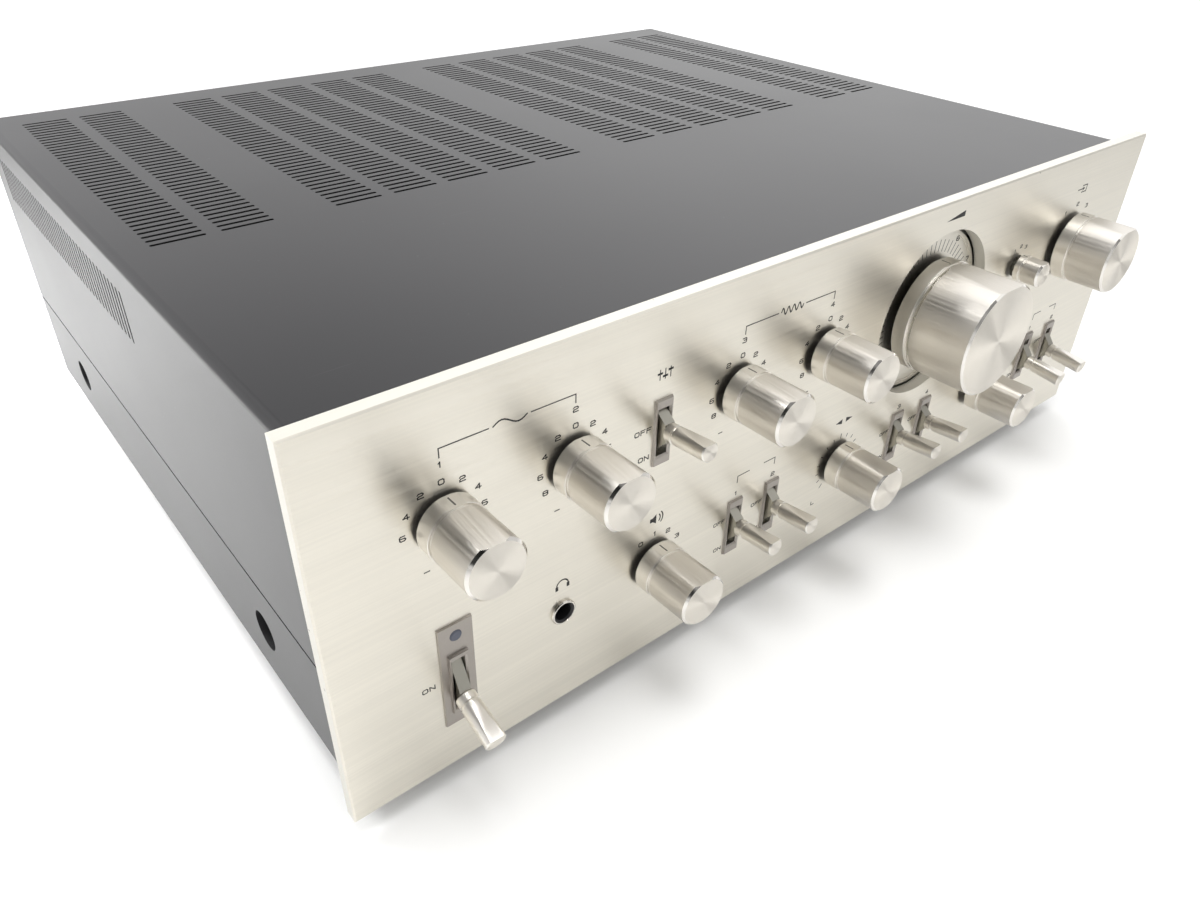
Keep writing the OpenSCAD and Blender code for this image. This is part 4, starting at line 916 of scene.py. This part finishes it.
def rounded_bar(length: float, width: float, steps: int = 8) -> list[Point]:
    """Outline of a bar along Y with round ends, about its middle.

    Args:
        length: Length over the ends.
        width: Width.
        steps: Facets of each end.

    Returns:
        The corners in order.
    """
    reach, radius = (length - width) / 2, width / 2
    ends = []
    for side in (1, -1):
        for i in range(steps + 1):
            turn = math.pi * i / steps
            ends.append((side * radius * math.cos(turn), side * (reach + radius * math.sin(turn))))
    return ends


# From the axes of a turned shape, with Z along its axis and Y up, to the frame's axes.
OUTWARD = Matrix(((1, 0, 0), (0, 0, -1), (0, 1, 0))).to_4x4()


@dataclass
class Knob(Fitting):
    """A turned knob: back painted black as shade, skirt, groove, satin barrel with a sloping flat, and a
    spun end.
    """

    name: str
    skirt: float = 6.0
    groove_w: float = 0.8
    groove_depth: float = 0.6
    fine_groove_w: float = 0.0
    step: float = 0.25
    rim: float = 0.8
    chamfer: float = 0.15
    flat_depth: float = 0.5
    flat_slope: float = 2.0
    pointer_w: float = 0.5
    pointer_margin: float = 2.0
    pointer_depth: float = 0.45
    pointer_rise: float = 0.02
    broken_edge: float = 0.00007
    facets: int = 160
    radius: float = field(init=False)
    base: float = field(init=False)
    reach: float = field(init=False)

    def __post_init__(self) -> None:
        """Read the radius, and where the knob starts and ends in front of the panel, from its solid."""
        low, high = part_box(f"{self.name}_knob")
        self.radius = (high.x - low.x) / 2 / MM
        self.base, self.reach = (self.face.y - high.y) / MM, (self.face.y - low.y) / MM

    def build(self) -> None:
        """Build the knob in place of its solid, with its pointer, and dress its shaft."""
        shape = joined(self.skirt_shape(), self.barrel_shape())
        shape.transform(OUTWARD @ Matrix.Scale(MM, 4))
        x, z = self.face.place_of(f"{self.name}_turn")
        centre = Matrix.Translation((x * MM, self.face.y, self.face.low + z * MM))
        f = self.finishes
        # The last slot, moulded black, is the painted shade on the knob's back.
        add_piece(f"{self.name}_turned", shape, self.name, f.polished, f.satin, f.spun, f.skirt, f.black,
                  place=centre, slot="knob_aluminium", stands_for=f"{self.name}_knob",
                  broken_edge=self.broken_edge)
        self.pointer(centre)
        dress(f.steel, f"{self.name}_shaft")

    def skirt_shape(self) -> Shape:
        """Shape the skirt with its small flat.

        Returns:
            The skirt's shape.
        """
        radius, base = self.radius, self.base
        top, edge = base + self.skirt, self.rim / 2
        core = radius - self.step - self.groove_depth
        profile = [(0, base), (radius - edge, base), (radius, base + edge), (radius, top - self.chamfer),
                   (radius - self.chamfer, top), (core, top), (core, top + self.groove_w),
                   (0, top + self.groove_w)]
        # The back of the skirt, facing the panel, is black as painted shade under the knob; it darkens the
        # panel's reflection beside the skirt.
        shape = turned(profile, [Zone.BACK] + [Zone.SKIRT] * (len(profile) - 2), self.facets)
        cut_flat(shape, self.skirt_flat(), base, 0.0, Zone.SKIRT)
        return shape

    def skirt_flat(self) -> float:
        """Find the height of the skirt's flat above the axis."""
        return self.radius - self.step - self.flat_depth / 2

    def barrel_shape(self) -> Shape:
        """Shape the barrel with its sloping flat and its spun end.

        Returns:
            The barrel's shape.
        """
        start = self.base + self.skirt + self.groove_w
        outer, edge = self.radius - self.step, 2 * self.chamfer
        profile = [(0, start), (outer - edge, start), (outer, start + edge)]
        if self.fine_groove_w:
            inner = outer - self.groove_depth / 2
            low = start + self.groove_w
            high = low + self.fine_groove_w
            profile += [(outer, low), (inner, low + self.chamfer), (inner, high - self.chamfer),
                        (outer, high)]
        zones = [Zone.POLISHED] * (len(profile) - 1) + [Zone.SATIN, Zone.POLISHED, Zone.SPUN]
        profile += [(outer, self.reach - self.rim), (outer - self.rim, self.reach), (0, self.reach)]
        shape = turned(profile, zones, self.facets)
        cut_flat(shape, outer - self.flat_depth, start, self.flat_slope, Zone.SATIN)
        return shape

    def pointer(self, centre: Matrix) -> None:
        """Build the dark pointer in the skirt's flat.

        Args:
            centre: Place of the knob.
        """
        outline = rounded_bar(self.skirt - self.pointer_margin, self.pointer_w)
        shape = extruded(outline, -self.pointer_depth, self.pointer_rise)
        seat = Matrix.Translation((0, -self.base - self.skirt / 2, self.skirt_flat()))
        shape.transform(Matrix.Scale(MM, 4) @ seat)
        add_piece(f"{self.name}_pointer", shape, self.name, self.finishes.mark, place=centre,
                  slot="black_plastic")


@dataclass
class Lever(Fitting):
    """A bat lever with its turned handle."""

    name: str
    rest: Rest = Rest.UP
    radius: float = 3.45
    length: float = 17.7
    start: float = 3.9
    collar: float = 2.8
    groove: float = 0.5
    groove_side: float = 0.2
    taper: float = 0.25
    edge: float = 0.35
    flat_slope: float = 3.0
    broken_edge: float = 0.00005
    facets: int = 96

    def build(self) -> None:
        """Build the handle in place of its solid and dress the plate."""
        base = self.radius - self.taper
        top = self.collar + 2 * self.groove
        profile = [(0, 0), (base - self.edge, 0), (base, self.edge), (base, self.collar),
                   (base - self.groove, self.collar + self.groove_side),
                   (base - self.groove, top - self.groove_side), (base, top),
                   (self.radius, self.length - self.edge), (self.radius - self.edge, self.length),
                   (0, self.length)]
        zones = [Zone.POLISHED] * 6 + [Zone.SATIN, Zone.POLISHED, Zone.SPUN]
        shape = turned(profile, zones, self.facets)
        cut_flat(shape, base, top, self.flat_slope, Zone.SATIN)
        pivot = Vector(joint_of(f"{self.name}_tilt")["pos_m"])
        neck = (pivot.y - self.face.y) / MM + self.start
        shape.transform(OUTWARD @ Matrix.Scale(MM, 4) @ Matrix.Translation((0, 0, neck)))
        tilt = Matrix.Rotation(math.radians(self.rest.value), 4, "X")
        f = self.finishes
        add_piece(f"{self.name}_grip", shape, self.name, f.skirt, f.handle, f.spun,
                  place=Matrix.Translation(pivot) @ tilt, slot="knob_aluminium",
                  stands_for=f"{self.name}_handle", broken_edge=self.broken_edge)
        dress(f.bat, f"{self.name}_lever")


@dataclass
class VolumeDial(Fitting):
    """The recessed scale plate round the volume knob."""

    rim_drop: float = 0.4
    tick_inner: float = 24.4
    tick_outer: float = 29.0
    figure_r: float = 30.9
    figure_h: float = 1.75
    line_w: float = 0.34
    sweep: int = 150
    tick_step: int = 6
    last_figure: int = 10

    def build(self) -> None:
        """Dress the plate and print its scale."""
        dress(self.finishes.dial, "volume_dial")
        at = self.face.place_of("volume_turn")
        depth = (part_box("volume_dial")[0].y - self.face.y) / MM + self.rim_drop
        scale = Print("volume_scale", self.face, self.finishes.ink, lift=Print.lift - depth)
        for angle in range(-self.sweep, self.sweep + 1, self.tick_step):
            scale.tick(angle, self.tick_inner, self.tick_outer, self.line_w, at)
        for i in range(self.last_figure + 1):
            angle = (2 * i / self.last_figure - 1) * self.sweep
            scale.dial_text(str(i), angle, self.figure_r, self.figure_h, at)
        scale.finish("black_plastic")


# Case and rear


@dataclass
class Case:
    """Cover, tray, feet and the parts inside."""

    finishes: Finishes

    def build(self) -> None:
        """Dress the shells, the feet and the inside."""
        f = self.finishes
        _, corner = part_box("top_cover")
        # The cover's paint darkens the walls of its slots as painted shade.
        cover = replace(f.case, name="cover_paint", skin_top=corner.z, skin_half_w=corner.x)
        dress(cover, "top_cover")
        dress(f.case, "bottom_tray", "rear_panel")
        dress(f.rubber, "feet")
        dress(f.screw, "chassis_screws")
        dress(f.steel, "front_chassis", "rotary_controls", "lever_switches", "power_transistors")
        dress(f.brass, "control_nuts")
        dress(f.core, "transformer_core")
        dress(f.copper, "transformer_coil")
        dress(f.sink, "heat_sinks")
        dress(f.sleeve, "filter_capacitors")
        dress(f.board, "amplifier_board", "equalizer_board")
        dress(f.escutcheon, "lever_escutcheons")
        dress(f.lamp, "power_lamp")
        dress(f.black, "headphone_jack", "speaker_terminals", "cord_bushing")
        dress(f.nickel, "input_jacks")


@dataclass
class HeadphoneRing(Fitting):
    """The plated ring round the headphone socket."""

    inner: float = 3.9
    outer: float = 4.75
    height: float = 1.15
    shoulder: float = 0.35
    outer_edge: float = 0.3
    inner_edge: float = 0.15
    facets: int = 64

    def build(self) -> None:
        """Build the ring."""
        side = self.height - self.shoulder
        profile = [(self.inner, 0.0), (self.outer, 0.0), (self.outer, side),
                   (self.outer - self.outer_edge, self.height), (self.inner + self.inner_edge, self.height),
                   (self.inner, side), (self.inner, 0.0)]
        shape = turned(profile, facets=self.facets)
        shape.transform(self.face.matrix(*self.face.middle_of("headphone_jack")))
        add_piece("headphone_ring", shape, CHASSIS, self.finishes.nickel, slot="nickel")


@dataclass
class Rear(Fitting):
    """Dressing of the rear panel: inserts of the jacks, screws of the terminals and printed figures."""

    jack_pitch: float = 15.0
    jack_count: int = 9
    jack_margin: float = 6.0
    row_pitch: float = 19.0
    insert_r: float = 3.4
    insert_bore: float = 1.6
    insert_low: float = 10.2
    insert_top: float = 10.75
    insert_edge: Point = (0.2, 0.15)
    terminal_pitch: float = 13.0
    terminal_count: int = 8
    head_r: float = 4.35
    head_low: float = 6.2
    head_top: float = 9.9
    head_edge: Point = (0.75, 0.7)
    slot_size: Point = (7.0, 0.9)
    slot_depth: float = 0.03
    slot_rise: float = 0.02
    figure_h: float = 2.4
    figure_rise: float = 10.0
    letter_gap: float = 10.5
    sign_h: float = 3.0
    sign_drop: float = 17.0

    def build(self) -> None:
        """Build the inserts, the screw heads and the print."""
        half_row = self.row_pitch / 2
        mid_z = self.face.middle_of("input_jacks")[1]
        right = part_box("input_jacks")[1].x / MM - self.jack_margin
        marks = Print("rear_figures", self.face, self.finishes.pale_ink)
        for number in range(1, self.jack_count + 1):
            figure = self.jack_count + 1 - number
            x = right - (figure - 1) * self.jack_pitch
            self.insert(f"jack_insert_{number}_upper", (x, mid_z + half_row), self.finishes.white)
            self.insert(f"jack_insert_{number}_lower", (x, mid_z - half_row), self.finishes.red)
            marks.text(str(figure), (0, half_row + self.figure_rise), self.figure_h, (x, mid_z))
        for word, z in (("L", half_row), ("R", -half_row)):
            marks.text(word, (-self.letter_gap, z), self.figure_h, (right, mid_z))
        self.terminals(marks)
        marks.finish()

    def insert(self, name: str, at: Point, finish: Finish) -> None:
        """Build the coloured insulator in one jack.

        Args:
            name: Name of the piece.
            at: Its place on the face.
            finish: Colour of the insulator.
        """
        across, along = self.insert_edge
        profile = [(self.insert_bore, self.insert_low), (self.insert_r, self.insert_low),
                   (self.insert_r, self.insert_top - along), (self.insert_r - across, self.insert_top),
                   (self.insert_bore, self.insert_top), (self.insert_bore, self.insert_low)]
        shape = turned(profile)
        shape.transform(self.face.matrix(*at))
        add_piece(name, shape, CHASSIS, finish)

    def terminals(self, marks: Print) -> None:
        """Build the plated screw heads of the speaker terminals and their signs.

        Args:
            marks: Print to draw on.
        """
        mid_x, mid_z = self.face.middle_of("speaker_terminals")
        across, along = self.head_edge
        profile = [(0, self.head_low), (self.head_r, self.head_low), (self.head_r, self.head_top - along),
                   (self.head_r - across, self.head_top), (0, self.head_top)]
        for i in range(self.terminal_count):
            slot = extruded(rounded_bar(*self.slot_size), self.head_top - self.slot_depth,
                            self.head_top + self.slot_rise)
            for face in slot.faces:
                face.material_index = 1
            at = (mid_x + ((self.terminal_count - 1) / 2 - i) * self.terminal_pitch, mid_z)
            shape = joined(turned(profile), slot)
            shape.transform(self.face.matrix(*at))
            add_piece(f"terminal_screw_{i + 1}", shape, CHASSIS, self.finishes.nickel, self.finishes.ink,
                      slot="nickel")
            marks.text("-" if i % 2 else "+", (0, -self.sign_drop), self.sign_h, at)


# Stage


@dataclass
class Stage:
    """Floor, light and the camera that sees the amplifier as photographed."""

    face: Face
    image: tuple[int, int] = (1200, 900)
    focal_px: float = 923.78
    sensor: float = 36.0
    azimuth: float = 40.151
    elevation: float = 34.416
    roll: float = -1.485
    eye: Vec = (-263.2, -174.54, 256.02)
    floor_size: float = 6.0
    floor_colour: Colour = (0.93, 0.93, 0.925)
    haze: float = 0.5
    ambient: float = 0.7
    white_gain: float = 1.1
    gloss_gain: float = 0.9
    room_front: float = 0.68
    room_left: float = 0.92
    room_right: float = 1.28
    room_top: float = 0.264
    dark_spot: float = 0.06

    def build(self) -> None:
        """Build the floor, the world, the lamps and the camera."""
        self.floor()
        self.world()
        self.lamp("side_softbox", (-0.5, 0.6, 0.9), (-0.3, 0.3, 0.0), (0.5, 0.5), 1.95, 55.0)
        self.lamp("top_softbox", (0.4, 0.35, 1.4), (0.05, 0.0, 0.0), (0.9, 0.8), 2.3)
        self.lamp("front_softbox", (-0.1, -0.3, 1.8), (-0.1, -0.3, 0.0), (0.8, 0.8), 2.55, 70.0)
        self.lamp("left_softbox", (-1.2, -0.1, 1.6), (-0.2, 0.0, 0.0), (1.0, 1.0), 0.65)
        self.lamp("right_softbox", (0.9, -1.1, 1.3), (0.1, -0.3, 0.0), (1.0, 1.0), 2.5)
        self.camera()
        bpy.context.scene.view_settings.view_transform = "Standard"

    def floor(self) -> None:
        """Lay the pale floor, which turns white towards the background."""
        shape = bmesh.new()
        bmesh.ops.create_grid(shape, x_segments=1, y_segments=1, size=self.floor_size / 2)
        mesh = bpy.data.meshes.new("floor")
        shape.to_mesh(mesh)
        shape.free()
        floor = add_object("floor", mesh)
        material = bpy.data.materials.new("floor_paper")
        material.use_nodes = True
        graph = NodeGraph(material.node_tree)
        rays = graph.add("LightPath")
        direct = rays.outputs["Is Camera Ray"]
        dimmed, raised = (tuple(gain * c for c in self.floor_colour)
                          for gain in (self.gloss_gain, self.white_gain))
        sheet = graph.mix(Mixed.COLOUR, graph.mirrored(rays), self.floor_colour, dimmed)
        paper = graph.add("BsdfDiffuse", {"Color": graph.mix(Mixed.COLOUR, direct, sheet, raised)})
        place = graph.add("TexCoord").outputs["Object"]
        away = graph.add("VectorMath", {0: place}, operation="LENGTH").outputs["Value"]
        haze = graph.ramp(away, 0.4, 1.3, 0.0, self.haze)
        glow = graph.add("Emission", {"Strength": graph.math("MULTIPLY", haze, direct)})
        graph.show(graph.add("AddShader", {0: paper.outputs[0], 1: glow.outputs[0]}))
        material.cycles.emission_sampling = "NONE"
        mesh.materials.append(material)

    def world(self) -> None:
        """Write the surroundings: dim in front, paler behind on the right, dark where the camera stands."""
        world = bpy.data.worlds.new("surroundings")
        world.use_nodes = True
        world.cycles.sampling_method = "NONE"
        bpy.context.scene.world = world
        graph = NodeGraph(world.node_tree)
        away = graph.add("TexCoord").outputs["Generated"]

        def toward(direction: Vector) -> Socket:
            """How far a ray runs in a direction."""
            feeds = {0: away, 1: direction.normalized()}
            return graph.add("VectorMath", feeds, operation="DOT_PRODUCT").outputs["Value"]

        behind = graph.ramp(toward(Vector((0, 1, 0))), -0.25, 0.15)
        around = graph.ramp(behind, 0.0, 1.0, self.room_front, self.room_left)
        low = graph.ramp(toward(Vector((0, 0, 1))), 0.3, 0.6, 1.0, 0.0)
        dim = graph.mix(Mixed.NUMBER, low, self.room_top, around)
        right = graph.math("MULTIPLY", graph.ramp(toward(Vector((1, 0, 0))), 0.28, 0.75), behind)
        room = graph.mix(Mixed.NUMBER, right, dim, self.room_right)
        spot = graph.ramp(toward(self.eye_place()), 0.87, 0.95, 1.0, self.dark_spot)
        rays = graph.add("LightPath")
        mirrored = graph.math("MULTIPLY", room, spot)
        seen = graph.mix(Mixed.NUMBER, graph.mirrored(rays), self.ambient, mirrored)
        level = graph.math("MAXIMUM", seen, rays.outputs["Is Camera Ray"])
        graph.show(graph.add("Background", {"Color": WHITE, "Strength": level}), "OutputWorld")

    def eye_place(self) -> Vector:
        """Find where the camera stands in the frame."""
        return Vector(self.eye) * MM + Vector((0, self.face.y, self.face.low))

    def lamp(self, name: str, place: Vec, target: Vec, size: Point, power: float,
             spread: float = 180.0) -> None:
        """Hang a softbox.

        Args:
            name: Name of the lamp.
            place: Where it hangs, in metres.
            target: Point that it looks at.
            size: Its width and height, in metres.
            power: Its power, in watts.
            spread: Angle of its beam, in degrees.
        """
        data = bpy.data.lights.new(name, "AREA")
        data.shape = "RECTANGLE"
        data.size, data.size_y = size
        data.energy = power
        data.spread = math.radians(spread)
        lamp = add_object(name, data)
        lamp.location = place
        lamp.rotation_euler = (Vector(target) - Vector(place)).to_track_quat("-Z", "Y").to_euler()

    def camera(self) -> None:
        """Set up the camera."""
        az, el, roll = (math.radians(v) for v in (self.azimuth, self.elevation, self.roll))
        ahead = Vector((math.sin(az) * math.cos(el), math.cos(az) * math.cos(el), -math.sin(el)))
        right = ahead.cross(Vector((0, 0, 1))).normalized()
        down = ahead.cross(right)
        across = math.cos(roll) * right + math.sin(roll) * down
        below = -math.sin(roll) * right + math.cos(roll) * down
        turn = Matrix((across, -below, -ahead)).transposed()
        data = bpy.data.cameras.new("camera")
        data.sensor_fit = "HORIZONTAL"
        data.sensor_width = self.sensor
        data.lens = self.focal_px / self.image[0] * self.sensor
        data.clip_start = 0.01
        data.clip_end = 50.0
        camera = add_object("camera", data)
        camera.matrix_world = Matrix.Translation(self.eye_place()) @ turn.to_4x4()
        bpy.context.scene.camera = camera


KNOBS = ("bass_low", "bass_high", "treble_low", "treble_high", "balance", "speaker", "mode", "input")
LEVERS_UP = ("tone", "low_filter", "high_filter", "loudness", "muting")
LEVERS_DOWN = ("monitor_1", "monitor_2")


def main() -> None:
    """Build the amplifier's looks and its stage."""
    logging.basicConfig(level=logging.INFO, format="%(name)s: %(message)s")
    finishes = Finishes()
    front = Face.of("faceplate", Side.FRONT)
    rear = Face.of("rear_panel", Side.REAR)
    Stage(front).build()
    FrontPanel(finishes, front).build()
    for name in KNOBS:
        Knob(finishes, front, name).build()
    Knob(finishes, front, "load", skirt=2.6, pointer_margin=0.6).build()
    Knob(finishes, front, "volume", fine_groove_w=0.5).build()
    for name in LEVERS_UP:
        Lever(finishes, front, name).build()
    for name in LEVERS_DOWN:
        Lever(finishes, front, name, Rest.DOWN).build()
    Lever(finishes, front, "power", Rest.POWER_DOWN, radius=3.75).build()
    VolumeDial(finishes, front).build()
    Case(finishes).build()
    HeadphoneRing(finishes, front).build()
    Rear(finishes, rear).build()


if __name__ == "__main__":
    main()
